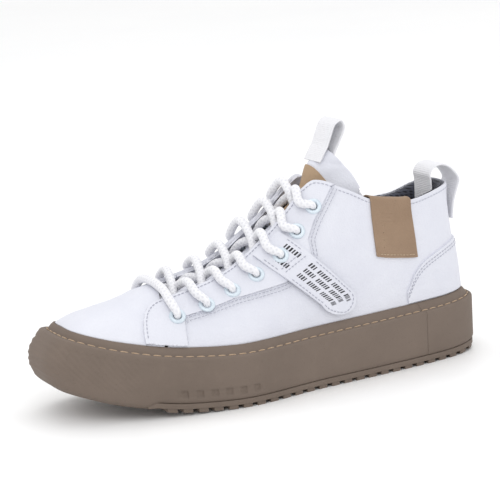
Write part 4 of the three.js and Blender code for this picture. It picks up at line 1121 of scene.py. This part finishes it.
def lathe(place, normal, first, second, profile, sides=48):
    angle = 2 * np.pi * np.arange(sides) / sides
    ring = np.cos(angle)[:, None] * first + np.sin(angle)[:, None] * second
    rows = [place + normal * h + ring * r for r, h in profile]
    points = np.concatenate(rows)
    index = np.arange(len(points)).reshape(len(profile), sides)
    nxt = np.roll(index, -1, 1)
    faces = np.stack([index[:-1], nxt[:-1], nxt[1:], index[1:]], -1).reshape(-1, 4).tolist()
    return points, faces


def build_eyelet(side, row, label):
    place, normal, first, second = eyelet_axes(side, row)
    place = place + normal * soften(place)
    top = stack_top(row) - 0.05
    collar = BARREL_RADIUS + 1.1
    rolled = [
        (FLANGE_RADIUS - 0.05, top - 0.1),
        (FLANGE_RADIUS + 0.02, top + 0.3),
        (FLANGE_RADIUS - 0.25, top + 0.75),
        (FLANGE_RADIUS - 0.9, top + 1.15),
        (FLANGE_RADIUS - 1.7, top + 1.22),
        (FLANGE_RADIUS - 2.3, top + 0.95),
        (EYELET_BORE + 0.1, top + 0.4),
        (EYELET_BORE, top - 0.6),
        (EYELET_BORE, UNDER_LEATHER - 1.9),
        (collar, UNDER_LEATHER - 1.8),
        (collar, UNDER_LEATHER - 1.1),
        (BARREL_RADIUS, UNDER_LEATHER - 1.1),
        (BARREL_RADIUS, top - 0.1),
        (FLANGE_RADIUS - 0.05, top - 0.1),
    ]
    points, faces = lathe(place, normal, first, second, rolled)
    ring = make_piece(f"eyelet_ring_{label}_{row + 1}", points, faces, EYELET_ENAMEL, slot="eyelet")
    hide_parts(f"eyelet_{label}_{row + 1}")


# ---- Eyestays ----
STAY_FRONT = -99
STAY_FOOT_BACK = -74
stay_inner = polyline([(0, -77), (0.12, THROAT_FRONT), (0.22, -60), (0.6, -4), (0.8, THROAT_BACK)])
stay_outer = polyline(
    [
        (0, STAY_FRONT, 0), (0.12, STAY_FOOT_BACK, 0), (0.22, STAY_FOOT_BACK, 15.5),
        (0.42, -36, 25), (0.6, 0, 30.5), (0.72, 21, 43), (0.78, 21, 54), (0.86, 28, 65),
        (0.94, 40, 79), (1, 45, 85),
    ]
)
STAY_TOP_REACH = 49


def stay_place(side):
    def place(c, r):
        x, rise = stay_outer(c)
        low_z = above(x, rise) + 2 * GAP
        low = reach_of(x, above(x, rise))
        edge_reach, edge_z = throat_edge(side, stay_inner(c)[0])
        top_reach = mix(CORNER_REACH, STAY_TOP_REACH, np.clip((c - 0.8) / 0.2, 0, 1))
        on_throat = c <= 0.8
        high = np.where(on_throat, edge_reach, top_reach)
        high_z = np.where(on_throat, edge_z, topline_height(side, top_reach))
        bow = np.clip(1 - c / 0.12, 0, 1) * 4 * r * (1 - r)
        return side_point(side, mix(low, high, r) - 5 * bow, mix(low_z, high_z, r) + 4 * bow)

    return place


def cut_holes(piece, side, rows):
    """Punches the eyelet holes with a boolean, then removes the tools."""
    parts = []
    for row in rows:
        place, normal, first, second = eyelet_axes(side, row)
        n = PUNCH_SIDES
        angle = 2 * np.pi * np.arange(n) / n
        ring = np.cos(angle)[:, None] * first + np.sin(angle)[:, None] * second
        rings = [place + normal * h + ring * PUNCH_RADIUS for h in (-PUNCH_REACH, PUNCH_REACH)]
        faces = [[i, (i + 1) % n, n + (i + 1) % n, n + i] for i in range(n)]
        faces += [list(range(n - 1, -1, -1)), list(range(n, 2 * n))]
        parts.append((np.concatenate(rings), faces))
    points, faces = gather(parts)
    mesh = bpy.data.meshes.new("tool")
    mesh.from_pydata(placed(points).tolist(), [], faces)
    tool = bpy.data.objects.new("tool", mesh)
    bpy.context.scene.collection.objects.link(tool)
    modifier = piece.modifiers.new("holes", "BOOLEAN")
    modifier.object = tool
    modifier.solver = "FAST"
    piece.modifiers.move(len(piece.modifiers) - 1, 0)
    bpy.context.view_layer.update()
    depsgraph = bpy.context.evaluated_depsgraph_get()
    bevels = [m for m in piece.modifiers if m.type == "BEVEL"]
    for m in bevels:
        m.show_viewport = False
    depsgraph.update()
    punched = bpy.data.meshes.new_from_object(piece.evaluated_get(depsgraph))
    piece.modifiers.remove(modifier)
    piece.data = punched
    for m in bevels:
        m.show_viewport = True
    bpy.data.objects.remove(tool)


for side, label in ((LATERAL, "lateral"), (MEDIAL, "medial")):
    rows = range(LAST_ROW + 1)
    white = dict(look=WHITE_LEATHER, slot="white_leather")
    leather_piece = panel(f"quarter_leather_{label}", 84, 300, quarter_place(side), 0, -LEATHER, **white)
    cut_holes(leather_piece, side, rows)
    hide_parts(f"quarter_{label}")
    stay = panel(f"eyestay_leather_{label}", 44, 300, stay_place(side), STAY_TOP, -0.1, **white)
    cut_holes(stay, side, rows)
    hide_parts(f"eyestay_{label}")
    for row in rows:
        build_eyelet(side, row, label)

# ---- Heel panel, collar, lining ----
FOAM_DEPTH = UNDER_LEATHER - FOAM - 2 * GAP


HEEL_PANEL_FRONT = 92
HEEL_PANEL_TOP = STAY_TOP - 0.2
heel_panel_rise = curve_through(
    [(HEEL_PANEL_FRONT, 8), (100, 19), (108, 25), (118, 29), (134, 33.5), (UPPER_HALF, 35)]
)


def heel_panel_place(c, r):
    """Wraps the heel: columns run from the lateral front edge round the back to the medial one."""
    side = np.where(c < 0.5, LATERAL, MEDIAL)
    reach = reach_at(np.abs(2 * c - 1), HEEL_PANEL_FRONT)
    return side_point(side, reach, mix(above(reach, 2 * GAP), above(reach, heel_panel_rise(reach)), r))


heel_piece = panel(
    "heel_leather", 40, 220, heel_panel_place, HEEL_PANEL_TOP, -0.1, WHITE_LEATHER, slot="white_leather"
)
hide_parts("heel_panel")

LINING_FRONT_LOW = -84
COLLAR_FRONT = 47


def collar_lining_offset(p):
    """From the leather's inner face at the edge, out over the foam roll, and in to the counter below."""
    reach = reach_of(p[..., 0], p[..., 2])
    side = np.where(p[..., 1] < centre_line(p[..., 0]), LATERAL, MEDIAL)
    below = topline_height(side, reach) - p[..., 2]
    thick = step(45, 75, reach)
    roll = np.sqrt(np.clip(1 - (1 - np.clip(below / 5.5, 0, 1)) ** 2, 0, 1))
    crown = 1.0 * np.exp(-(((below - 9) / 8) ** 2)) * thick
    depth = mix(UNDER_LEATHER, mix(UNDER_LEATHER - 1.2, FOAM_DEPTH, thick), roll) - crown
    low = UNDER_LEATHER - COUNTER - GAP
    rise = p[..., 2] - feather_height(p[..., 0])
    return mix(low, depth, step(31, 48, rise))


def collar_place(c, r):
    side = np.where(c < 0.5, LATERAL, MEDIAL)
    share = np.abs(2 * c - 1)
    low = reach_at(share, LINING_FRONT_LOW)
    high = reach_at(share, COLLAR_FRONT)
    low_z = above(low, -LASTING_MARGIN + 1)
    high_z = topline_height(side, high) - 0.3
    return side_point(side, mix(low, high, r**0.7), mix(low_z, high_z, r))


def collar_outer(p):
    reach = reach_of(p[..., 0], p[..., 2])
    side = np.where(p[..., 1] < centre_line(p[..., 0]), LATERAL, MEDIAL)
    below = topline_height(side, reach) - p[..., 2]
    return collar_lining_offset(p) + 0.8 * step(0.2, 4, below)


lining_piece = panel(
    "collar_lining", 110, 300, collar_place, collar_outer, lambda p: collar_lining_offset(p) - 0.3, DARK_MESH,
    slot="dark_mesh", bevel=0, soft=1.0,
)
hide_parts("quarter_lining", "collar_foam")

TAG_FRONT = 71
TAG_BACK = 104
TAG_DROP = 38
TAG_INSIDE_DROP = 12


def tag_layer(rows, columns, thickness):
    """The tag climbs the outside, folds over the topline and runs down inside."""
    lengths = np.linspace(0, 1, rows + 1)
    inside_offset = FOAM_DEPTH - LINING - 0.9
    middle, span, rise = (0.05 + inside_offset) / 2, (0.05 - inside_offset) / 2, 1.4
    fold = math.pi * (span + rise) / 2
    total = TAG_DROP + fold + TAG_INSIDE_DROP
    c, r = np.meshgrid(np.linspace(0, 1, columns + 1), lengths)
    at = r * total
    reach = mix(TAG_FRONT, TAG_BACK, c)
    top = topline_height(LATERAL, reach)
    up = np.clip(at, 0, TAG_DROP)
    angle = np.clip((at - TAG_DROP) / fold, 0, 1) * np.pi
    down = np.clip(at - TAG_DROP - fold, 0, TAG_INSIDE_DROP)
    z = top - TAG_DROP + up - down
    base = side_point(LATERAL, reach, np.minimum(z, top))
    offset = middle + (span + thickness) * np.cos(angle)
    lift = (rise + thickness) * np.sin(angle)
    points = raised(base, offset + soften(base))
    points[..., 2] += lift
    return points


def tag_marks(points_grid):
    """Generic pressed marks: a small square frame and a few short bars."""
    rows, columns = points_grid.shape[:2]
    v, u = np.meshgrid(np.linspace(0, 1, rows), np.linspace(0, 1, columns), indexing="ij")
    depth = np.zeros_like(u)

    def bar(u0, u1, v0, v1, amount=0.22):
        e = 0.008
        along_u = step(u0 - e, u0 + e, u) * (1 - step(u1 - e, u1 + e, u))
        return amount * along_u * step(v0 - e, v0 + e, v) * (1 - step(v1 - e, v1 + e, v))

    for k, length in enumerate((0.34, 0.26, 0.30)):
        depth += bar(0.2, 0.2 + length, 0.40 + 0.045 * k, 0.418 + 0.045 * k)
    depth += bar(0.62, 0.82, 0.40, 0.51, 0.12)
    return depth


def build_tag():
    rows, columns = 200, 110
    outer = tag_layer(rows, columns, OVERLAY)
    inner = tag_layer(rows, columns, 0)
    inward = unit(inner - outer)
    outer = outer + inward * tag_marks(outer)[..., None]
    points, faces = shell(outer, inner)
    piece = make_piece("collar_tag_leather", points, faces, TAN_LEATHER, slot="tan_leather", bevel=0.35)
    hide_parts("collar_tag")


build_tag()

# ---- Strap ----
strap_lower = polyline([(0, -17, 50.4), (0.25, -8, 40.1), (1, 22.5, 13.2)])
strap_upper = polyline([(0, 2, 63.2), (0.25, 13, 52.8), (1, 47.5, 17)])
STRAP_TIP = (5.5, -10.5)
STRAP_START = 0.08
HINGE_AT = 0.4
MEDIAL_STRAP_END = 0.75


def strap_point(side, across, along):
    straight = np.minimum(along, 1)
    low_x, low_rise = strap_lower(straight)
    high_x, high_rise = strap_upper(straight)
    turn = np.clip(along - 1, 0, 1) * 1.4
    share = 0.5 + 0.5 * across * np.cos(turn)
    x = mix(low_x, high_x, share) + STRAP_TIP[0] * np.sin(turn)
    rise = mix(low_rise, high_rise, share) + STRAP_TIP[1] * np.sin(turn)
    z = above(x, rise)
    return side_point(side, reach_of(x, z), z)


STRAP_VISUAL_LOW = STAY_TOP + 0.1


def strap_piece(name, side, end, rows, body, *nodes):
    def place(c, r):
        return strap_point(side, 2 * c - 1, mix(STRAP_START, end, r))

    options = dict(slot="white_leather", bevel=0.5, body=body)
    piece = panel(name, rows, 40, place, STRAP_TOP, STRAP_VISUAL_LOW, WHITE_LEATHER, **options)
    cut_holes(piece, side, [STRAP_EYELET])
    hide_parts(*nodes)
    return piece


strap = strap_piece("strap_leather", LATERAL, 2.0, 170, None, "strap_root", "strap_flap")
strap_piece("strap_leather_medial", MEDIAL, MEDIAL_STRAP_END, 70, "root", "strap_medial")

# ---- Tongue ----
TONGUE_FRONT = -76
TONGUE_TOP = 50
TONGUE_FOAM = 2.2
TONGUE_DEPTH = -10.2
TONGUE_EMERGES = (123, 143)
TONGUE_MIDDLE = (6, 24)
wing_x = curve_through([(TONGUE_FRONT, TONGUE_FRONT), (-30, -28), (5, 14), (35, 53), (TONGUE_TOP, 71)])
wing_rise = curve_through([(TONGUE_FRONT, 25), (-30, 35), (5, 42), (35, 60), (TONGUE_TOP, 74)])


def tongue_place(c, ridge_x):
    a = 2 * c - 1
    x = mix(ridge_x, wing_x(ridge_x), a * a)
    z = mix(ridge_height(ridge_x), above(wing_x(ridge_x), wing_rise(ridge_x)), a * a)
    side = np.where(a < 0, LATERAL, MEDIAL)
    return side_point(side, reach_of(x, z), z)


def tongue_face(p):
    from_ridge = np.abs(p[..., 1] - centre_line(p[..., 0]))
    comes_up = step(*TONGUE_EMERGES, p[..., 2]) * (1 - step(*TONGUE_MIDDLE, from_ridge))
    return TONGUE_DEPTH * (1 - comes_up)


TONGUE_FOAM_BOTTOM = -LEATHER - GAP - TONGUE_FOAM
TONGUE_LINING_BOTTOM = TONGUE_FOAM_BOTTOM - 2.5 * GAP - LINING


def tongue_layer(name, rows, columns, top, bottom, c_range, r_range, look, **options):
    def place(c, r):
        return tongue_place(mix(*c_range, c), mix(TONGUE_FRONT, TONGUE_TOP, mix(*r_range, r)))

    return panel(name, rows, columns, place, top, bottom, look, soft=0.5, body="tongue", **options)


def tongue_roll(p):
    """How far in from the tongue's free edge a point is, as a share of the edge roll."""
    top_gap = ridge_height(TONGUE_TOP) - p[..., 2]
    return np.sqrt(np.clip(1 - (1 - np.clip(top_gap / 5, 0, 1)) ** 2, 0, 1))


def tongue_seam(p):
    """Sewn dip across the tongue above the patch."""
    return 0.7 * np.exp(-(((p[..., 2] - 141) / 1.1) ** 2))


TONGUE_SPLIT = 3.2  # depth under the face at which the pad meets its lining
tongue_piece = tongue_layer(
    "tongue_pad", 150, 90,
    lambda p: tongue_face(p) - 1.6 * (1 - tongue_roll(p)) - tongue_seam(p),
    lambda p: tongue_face(p) - TONGUE_SPLIT,
    (0, 1), (0, 1), WHITE_LEATHER, slot="white_leather", bevel=0.5,
)
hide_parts("tongue_face", "tongue_foam")
tongue_back = tongue_layer(
    "tongue_lining_pad", 110, 70,
    lambda p: tongue_face(p) - TONGUE_SPLIT,
    lambda p: tongue_face(p) + mix(TONGUE_FOAM_BOTTOM + 1.5, TONGUE_LINING_BOTTOM, tongue_roll(p)),
    (0, 1), (0, 1), DARK_MESH, slot="dark_mesh", bevel=0.5,
)
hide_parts("tongue_lining")
patch = tongue_layer(
    "tongue_patch_leather", 60, 80,
    lambda p: tongue_face(p) + 1.0,
    lambda p: tongue_face(p) - 0.1,
    (0.22, 0.78), (0.66, 0.915), PATCH_LEATHER, slot="tan_leather", bevel=0.35,
)
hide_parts("tongue_patch")

# ---- Shoelace ----
UNDER_FLANGE = UNDER_LEATHER - 4 * GAP
LACE_BELOW = UNDER_FLANGE - 0.6 - GAP - LACE_RADIUS_IN_HOLE
OVER_FLANGE = FLANGE_HEIGHT + 2 * GAP
LOWER_STRAND = -6.7
UPPER_STRAND = LOWER_STRAND + 2 * LACE_RADIUS + GAP / 2
LAST_CROSSING_LIFT = 2
OVER_VAMP = LACE_RADIUS + 2 * GAP
OVER_STAY = STAY_TOP + LACE_RADIUS + 2 * GAP
TAIL_LENGTH = 6


def hole_points(side, row, toward):
    place = eyelet_place(side, row)
    top = stack_top(row)
    normal = surface_normal(place)
    aside = toward - place
    aside = unit(aside - normal * aside.dot(normal))

    def at(distance, offset):
        return place + normal * offset + aside * distance

    under = [
        (at(9.5, LACE_BELOW + 0.2), LACE_RADIUS_IN_HOLE),
        (at(4.4, LACE_BELOW - 0.3), LACE_RADIUS_IN_HOLE),
        (at(1.1, LACE_BELOW + 0.4), LACE_RADIUS_IN_HOLE),
        (at(0, UNDER_LEATHER + 0.6), LACE_RADIUS_IN_HOLE),
    ]
    over = [
        (at(0, top - 0.4), LACE_RADIUS_IN_HOLE),
        (at(0.9, top + OVER_FLANGE + 1.2), LACE_RADIUS_IN_HOLE + 0.2),
        (at(4, top + OVER_FLANGE + LACE_RADIUS), 2.3),
        (at(9, top + GAP + 0.7 + LACE_RADIUS), LACE_RADIUS),
    ]
    return under, over


def crossing(side, row):
    a = eyelet_place(side, row)
    b = eyelet_place(-side, row + 1)
    last = row + 1 == LAST_ROW
    offset = (UPPER_STRAND if side == LATERAL else LOWER_STRAND) + (LAST_CROSSING_LIFT if last else 0)

    def midway(share, lift):
        at = mix(a, b, share)
        return raised(plan_point(at[0], at[1]), lift), LACE_RADIUS

    return [
        *hole_points(side, row, b)[0][::-1],
        midway(0.3, LACE_BELOW + 0.3),
        midway(0.5, offset),
        midway(0.72 if last else 0.75, stack_top(row + 1) + 2 * GAP + LACE_RADIUS),
        *hole_points(-side, row + 1, a)[1][::-1],
    ]


def tucked_point(side, back):
    x, _, z = eyelet_place(side, LAST_ROW)
    z = z - 0.1 * back
    return raised(side_point(side, reach_of(x + back, z), z), LACE_BELOW - GAP)


def chain(side):
    points = []
    for row in range(LAST_ROW):
        points += crossing(side, row)
        side = -side
    end = tucked_point(side, TAIL_LENGTH)
    under = hole_points(side, LAST_ROW, end)[0]
    return points + [under[3], under[2], (end, LACE_RADIUS_IN_HOLE)]


def lace_path():
    left = eyelet_place(LATERAL, 0)
    right = eyelet_place(MEDIAL, 0)
    bar = []
    for share, offset in ((0.25, OVER_STAY), (0.5, OVER_VAMP), (0.75, OVER_STAY)):
        x = mix(left[0], right[0], share) - 1.5 * math.sin(math.pi * share)
        bar.append((raised(plan_point(x, mix(left[1], right[1], share)), offset), LACE_RADIUS))
    return [
        *chain(LATERAL)[::-1],
        *hole_points(LATERAL, 0, right)[1],
        *bar,
        *hole_points(MEDIAL, 0, left)[1][::-1],
        *chain(MEDIAL),
    ]


def smooth_path(points, per_segment):
    """Centripetal Catmull-Rom through the points."""
    points = np.asarray(points, float)
    padded = np.vstack([2 * points[0] - points[1], points, 2 * points[-1] - points[-2]])
    out, spans = [], []
    for i in range(1, len(padded) - 2):
        p0, p1, p2, p3 = padded[i - 1 : i + 3]
        knots = [0.0]
        for a, b in ((p0, p1), (p1, p2), (p2, p3)):
            knots.append(knots[-1] + max(1e-4, np.linalg.norm(b - a)) ** 0.5)
        t0, t1, t2, t3 = knots
        t = np.linspace(t1, t2, per_segment, endpoint=False)[:, None]
        a1 = (t1 - t) / (t1 - t0) * p0 + (t - t0) / (t1 - t0) * p1
        a2 = (t2 - t) / (t2 - t1) * p1 + (t - t1) / (t2 - t1) * p2
        a3 = (t3 - t) / (t3 - t2) * p2 + (t - t2) / (t3 - t2) * p3
        b1 = (t2 - t) / (t2 - t0) * a1 + (t - t0) / (t2 - t0) * a2
        b2 = (t3 - t) / (t3 - t1) * a2 + (t - t1) / (t3 - t1) * a3
        out.append((t2 - t) / (t2 - t1) * b1 + (t - t1) / (t2 - t1) * b2)
        spans.append((i - 1) + np.linspace(0, 1, per_segment, endpoint=False))
    out.append(points[-1:])
    spans.append([len(points) - 1.0])
    return np.concatenate(out), np.concatenate(spans)


def build_lace():
    route = lace_path()
    fine, spans = smooth_path([p for p, _ in route], 14)
    radius_at = np.interp(spans, np.arange(len(route)), [r for _, r in route])
    even, at = resample(fine, 0.42)
    along = np.concatenate([[0], np.cumsum(np.linalg.norm(np.diff(fine, axis=0), axis=1))])
    radii = np.interp(at, along, radius_at) * LACE_SWELL
    for _ in range(6):
        even[1:-1] = (even[:-2] + 2 * even[1:-1] + even[2:]) / 4
    free = step(LACE_RADIUS - 0.3, LACE_RADIUS, np.interp(at, along, radius_at))[1:-1, None]
    for _ in range(70):
        even[1:-1] += free * (even[:-2] - 2 * even[1:-1] + even[2:]) / 4

    def twist(length, angle):
        a = np.sin(2 * np.pi * length / 3.1 + 4 * angle)
        b = np.sin(2 * np.pi * length / 3.1 - 4 * angle)
        return 1.0 + 0.05 * np.maximum(a, b) - 0.03

    points, faces, uv = tube(even, radii, 32, twist)
    piece = make_piece("lace", points, faces, LACE_BRAID, slot="lace", uv=uv)
    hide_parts("shoelace")


build_lace()


# ---- Webbing loops ----
def webbing_mesh(points, y, spacing=0.25):
    path = np.array([(x, y, z) for x, z in points])
    fine, _ = smooth_path(path, 30)
    fine, at = resample(fine, spacing)
    tangent = unit(np.gradient(fine, axis=0))
    up = np.stack([-tangent[:, 2], np.zeros(len(fine)), tangent[:, 0]], -1)
    columns = 28
    across = np.linspace(-1, 1, columns + 1)
    edge = np.sqrt(np.clip(1 - np.clip((np.abs(across) - 0.93) / 0.07, 0, 1) ** 2, 0.05, 1))
    rib = 0.11 * np.sin(2 * np.pi * at / 1.25)[:, None] * edge[None]
    half = WEBBING_THICKNESS / 2
    width = WEBBING_WIDTH / 2
    centre = fine[:, None] + np.array([0, 1, 0]) * (across * width)[None, :, None]
    outer = centre + up[:, None] * (half * edge[None] * 0.9 + rib)[..., None]
    inner = centre - up[:, None] * (half * edge[None] * 0.9 - rib)[..., None]
    grid_uv = np.stack(np.broadcast_arrays((at * MM)[:, None], (across * width * MM)[None]), -1)
    points_out, faces = shell(outer, inner)
    return points_out, faces, np.concatenate([grid_uv.reshape(-1, 2)] * 2)


HEEL_TOP = float(topline_height(LATERAL, np.float64(UPPER_HALF)))
HEEL_X = float(heel_reach(HEEL_TOP))
INNER_X = HEEL_X + FOAM_DEPTH - LINING - 5 - WEBBING_THICKNESS / 2
OUTER_X = HEEL_X + STAY_TOP + WEBBING_THICKNESS / 2
HEEL_LOOP = [
    (INNER_X, HEEL_TOP - 13), (INNER_X, HEEL_TOP + 1), (INNER_X - 0.5, HEEL_TOP + 6),
    (INNER_X + 3, HEEL_TOP + 10.5), (INNER_X + 10, HEEL_TOP + 11.5), (INNER_X + 16.5, HEEL_TOP + 8),
    (OUTER_X + 6.8, HEEL_TOP), (OUTER_X + 4.8, HEEL_TOP - 6), (OUTER_X + 1.8, HEEL_TOP - 15),
    (OUTER_X + 0.4, HEEL_TOP - 26),
]
TONGUE_TOP_Z = float(ridge_height(TONGUE_TOP))
TONGUE_LOOP = [
    (TONGUE_TOP - 7.0, TONGUE_TOP_Z - 8.6),
    (TONGUE_TOP - 2.4, TONGUE_TOP_Z - 1.2),
    (TONGUE_TOP - 0.9, TONGUE_TOP_Z + 1),
    (TONGUE_TOP + 2.5, TONGUE_TOP_Z + 9),
    (TONGUE_TOP + 6, TONGUE_TOP_Z + 15.5),
    (TONGUE_TOP + 10.5, TONGUE_TOP_Z + 17),
    (TONGUE_TOP + 12.5, TONGUE_TOP_Z + 12.5),
    (TONGUE_TOP + 9, TONGUE_TOP_Z + 4.5),
    (TONGUE_TOP + 4.8, TONGUE_TOP_Z - 3.1),
    (TONGUE_TOP + 3.0, TONGUE_TOP_Z - 7.5),
]

HEEL_LOOP_Y = float(centre_line(np.float64(125)))


def loop_piece(name, path, y):
    points, faces, uv = webbing_mesh(path, y)
    return make_piece(name, points, faces, WEBBING, body=None, slot="webbing", uv=uv)


heel_loop = loop_piece("heel_loop_webbing", HEEL_LOOP, HEEL_LOOP_Y)
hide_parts("heel_pull_loop", "heel_loop_inner_tail", "heel_loop_outer_tail")
tongue_loop = loop_piece("tongue_loop_webbing", TONGUE_LOOP, float(centre_line(np.float64(TONGUE_TOP))))
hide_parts("tongue_pull_loop")


# ---- Stitching on the upper ----
def smooth_line(path, times=20):
    path = path.copy()
    for _ in range(times):
        path[1:-1] = (path[:-2] + 2 * path[1:-1] + path[2:]) / 4
    return path


def inset_path(path, inset):
    """A path on the surface moved sideways by inset millimetres."""
    tangent = unit(np.gradient(path, axis=0))
    return path + np.cross(surface_normal(path), tangent) * inset


COLLAR_STITCH_DROP = 2.6

for side, label in ((LATERAL, "lateral"), (MEDIAL, "medial")):
    place = stay_place(side)
    front = place(np.zeros(60), np.linspace(0.04, 0.97, 60))
    lower = smooth_line(place(np.linspace(0.2, 0.995, 260), np.zeros(260)))
    throat = smooth_line(place(np.linspace(0.02, 0.8, 200), np.ones(200)), 8)
    top = smooth_line(place(np.linspace(0.8, 1.0, 60), np.ones(60)), 6)
    rows = [
        inset_path(front, side * 2.0),
        inset_path(lower, side * 1.8),
        inset_path(lower, side * 4.0),
        inset_path(throat, side * 2.2),
        inset_path(top, side * 2.2),
    ]
    stitches(f"stay_stitches_{label}", rows, WHITE_STITCH, STAY_TOP, SHADED_WHITE_THREAD)
    reach = np.linspace(STAY_TOP_REACH + 1, UPPER_HALF - 1, 240)
    row = side_point(side, reach, topline_height(side, reach)) - [0, 0, COLLAR_STITCH_DROP]
    tag_free = (reach < TAG_FRONT + 1, reach > TAG_BACK - 1)
    collar_rows = [row] if side == MEDIAL else [row[free] for free in tag_free]
    collar_rows = [side_point(side, reach_of(row[:, 0], row[:, 2]), row[:, 2]) for row in collar_rows]
    stitches(f"collar_stitches_{label}", collar_rows, WHITE_STITCH, 0.0, SHADED_WHITE_THREAD)

heel_c = np.linspace(0.0, 1.0, 400)
heel_edge = heel_panel_place(heel_c, np.ones(400))
heel_rows = [heel_edge - [0, 0, 2.0], heel_edge - [0, 0, 4.2]]
heel_side = np.where(heel_c < 0.5, LATERAL, MEDIAL)
heel_rows = [side_point(heel_side, reach_of(row[:, 0], row[:, 2]), row[:, 2]) for row in heel_rows]
stitches("heel_stitches", heel_rows, WHITE_STITCH, HEEL_PANEL_TOP, SHADED_WHITE_THREAD)

EDGE_ROW = 0.86  # share of the strap's half width at which its edge rows run
BEYOND_HINGE = 0.47  # BEYOND_HINGE = 0.47 # share of the strap's length from which its stitches and print are attached to the strap body
strap_rows = []
root_rows = [strap_point(LATERAL, np.linspace(-EDGE_ROW, EDGE_ROW, 60), np.full(60, v)) for v in (0.34, 0.39)]
for across in (-EDGE_ROW, EDGE_ROW):
    strap_rows.append(strap_point(LATERAL, np.full(120, across), np.linspace(BEYOND_HINGE, 1.0, 120)))
    root_rows.append(strap_point(LATERAL, np.full(40, across), np.linspace(0.16, 0.33, 40)))
turn = np.linspace(-1, 1, 120)
tip_along = 1 + 0.8 * np.sqrt(np.clip(1 - turn**2, 0, 1))
strap_rows.append(strap_point(LATERAL, turn * EDGE_ROW, tip_along))
stitches("strap_edge_stitches", strap_rows, WHITE_STITCH, STRAP_TOP, SHADED_WHITE_THREAD, body="strap")
stitches("strap_root_stitches", root_rows, WHITE_STITCH, STRAP_TOP, SHADED_WHITE_THREAD, body="root")


def surface_bars(name, bars, place, offset, thickness, look, body, slot):
    """Thin flat bars on a panel: each is (u0, u1, v0, v1) in the panel's own shares."""
    parts = []
    for u0, u1, v0, v1 in bars:
        u, v = np.meshgrid(np.linspace(u0, u1, 7), np.linspace(v0, v1, 4))
        base = place(u, v)
        shift = soften(base)
        parts.append(shell(raised(base, offset + thickness + shift), raised(base, offset + shift - 0.1)))
    points, faces = gather(parts)
    return make_piece(name, points, faces, look, body=body, slot=slot)


PRINT_ROWS = ((0.5, 0.2, 1.26), (0.06, 0.46, 1.14), (-0.4, 0.24, 1.2))


def strap_print_bars(start, end):
    """Three rows of upright plain strokes of uneven width, lengthwise on the band between two places."""
    bars = []
    for row, (across, row_start, row_end) in enumerate(PRINT_ROWS):
        at = row_start
        count = 0
        while at < row_end:
            length = 0.012 + 0.007 * math.sin(2.1 * count + 1.7 * row) ** 2
            if start <= at and at + length <= end and count % 7 != 6:
                bars.append((at, at + length, across - 0.14, across + 0.14))
            at += length + 0.0125
            count += 1
    return bars


PRINT_THICKNESS = 0.06
for name, body, span in (("strap_print_root", "root", (0.0, 0.37)), ("strap_print", "strap", (BEYOND_HINGE, 2.0))):
    bars = strap_print_bars(*span)
    place = lambda u, v: strap_point(LATERAL, v, u)
    surface_bars(name, bars, place, STRAP_TOP, PRINT_THICKNESS, PRINT_INK, body, "hook_and_loop")


def tag_stitch_path():
    reach = np.linspace(TAG_FRONT + 1.2, TAG_BACK - 1.2, 60)
    z = topline_height(LATERAL, reach) - TAG_DROP + 2.0
    return side_point(LATERAL, reach, z)


stitches("tag_stitches", [tag_stitch_path()], TAG_STITCH, OVERLAY + 0.05, TAN_THREAD, slot="tan_leather")

# ---- CAD nodes that stay as they are, inside the shoe ----
KEPT = {
    "midsole_core": CUT_FOAM,
    "insole_board": BOARD,
    "toe_puff": STIFFENER,
    "heel_counter": STIFFENER,
    "loop_pad": HOOK_AND_LOOP,
    "hook_pad": HOOK_AND_LOOP,
    "aglet_lateral": AGLET_PLASTIC,
    "aglet_medial": AGLET_PLASTIC,
}
for node, look in KEPT.items():
    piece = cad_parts[node]
    piece.data.materials.clear()
    piece.data.materials.append(look)

# ---- Joints: the strap's hinge places, and the strap and the loops with their placement baked into their meshes ----
HINGE_LOW = strap_point(LATERAL, np.float64(0), np.float64(HINGE_AT - 0.03))
HINGE_HIGH = strap_point(LATERAL, np.float64(0), np.float64(HINGE_AT + 0.06))
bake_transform(strap)
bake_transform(heel_loop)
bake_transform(tongue_loop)


# ---- Floor, lights and world ----
FLOOR_REACH = 6.0  # metres, as are the places and sizes of the lights
FLOOR_CELLS = 24


def add_floor():
    mesh = bpy.data.meshes.new("floor")
    line = np.linspace(-FLOOR_REACH, FLOOR_REACH, FLOOR_CELLS + 1)
    points = [(x, y, 0.0) for y in line for x in line]
    n = len(line)
    starts = [r * n + c for r in range(FLOOR_CELLS) for c in range(FLOOR_CELLS)]
    mesh.from_pydata(points, [], [(i, i + 1, i + n + 1, i + n) for i in starts])
    mesh.materials.append(floor_look("floor_look"))
    floor = bpy.data.objects.new("floor", mesh)
    bpy.context.scene.collection.objects.link(floor)


def add_light(name, place, target, size, power):
    data = bpy.data.lights.new(name, "AREA")
    data.shape = "RECTANGLE"
    data.size, data.size_y = size
    data.energy = power
    light = bpy.data.objects.new(name, data)
    light.location = place
    light.rotation_euler = (Vector(target) - Vector(place)).to_track_quat("-Z", "Y").to_euler()
    bpy.context.scene.collection.objects.link(light)


add_floor()
add_light("key", (-0.7, -1.3, 1.5), (0, 0, 0.05), (1.2, 1.2), 7)
add_light("fill", (1.5, -1.0, 0.8), (0, 0, 0.06), (1.4, 1.0), 2)
add_light("top", (0.1, 0.5, 1.9), (0, 0, 0.05), (1.6, 1.2), 7)
world = bpy.data.worlds.new("world")
world.use_nodes = True
background = world.node_tree.nodes["Background"]
background.inputs["Color"].default_value = (1, 1, 1, 1)
background.inputs["Strength"].default_value = 1.0
bpy.context.scene.world = world
bpy.context.scene.view_settings.view_transform = "Standard"
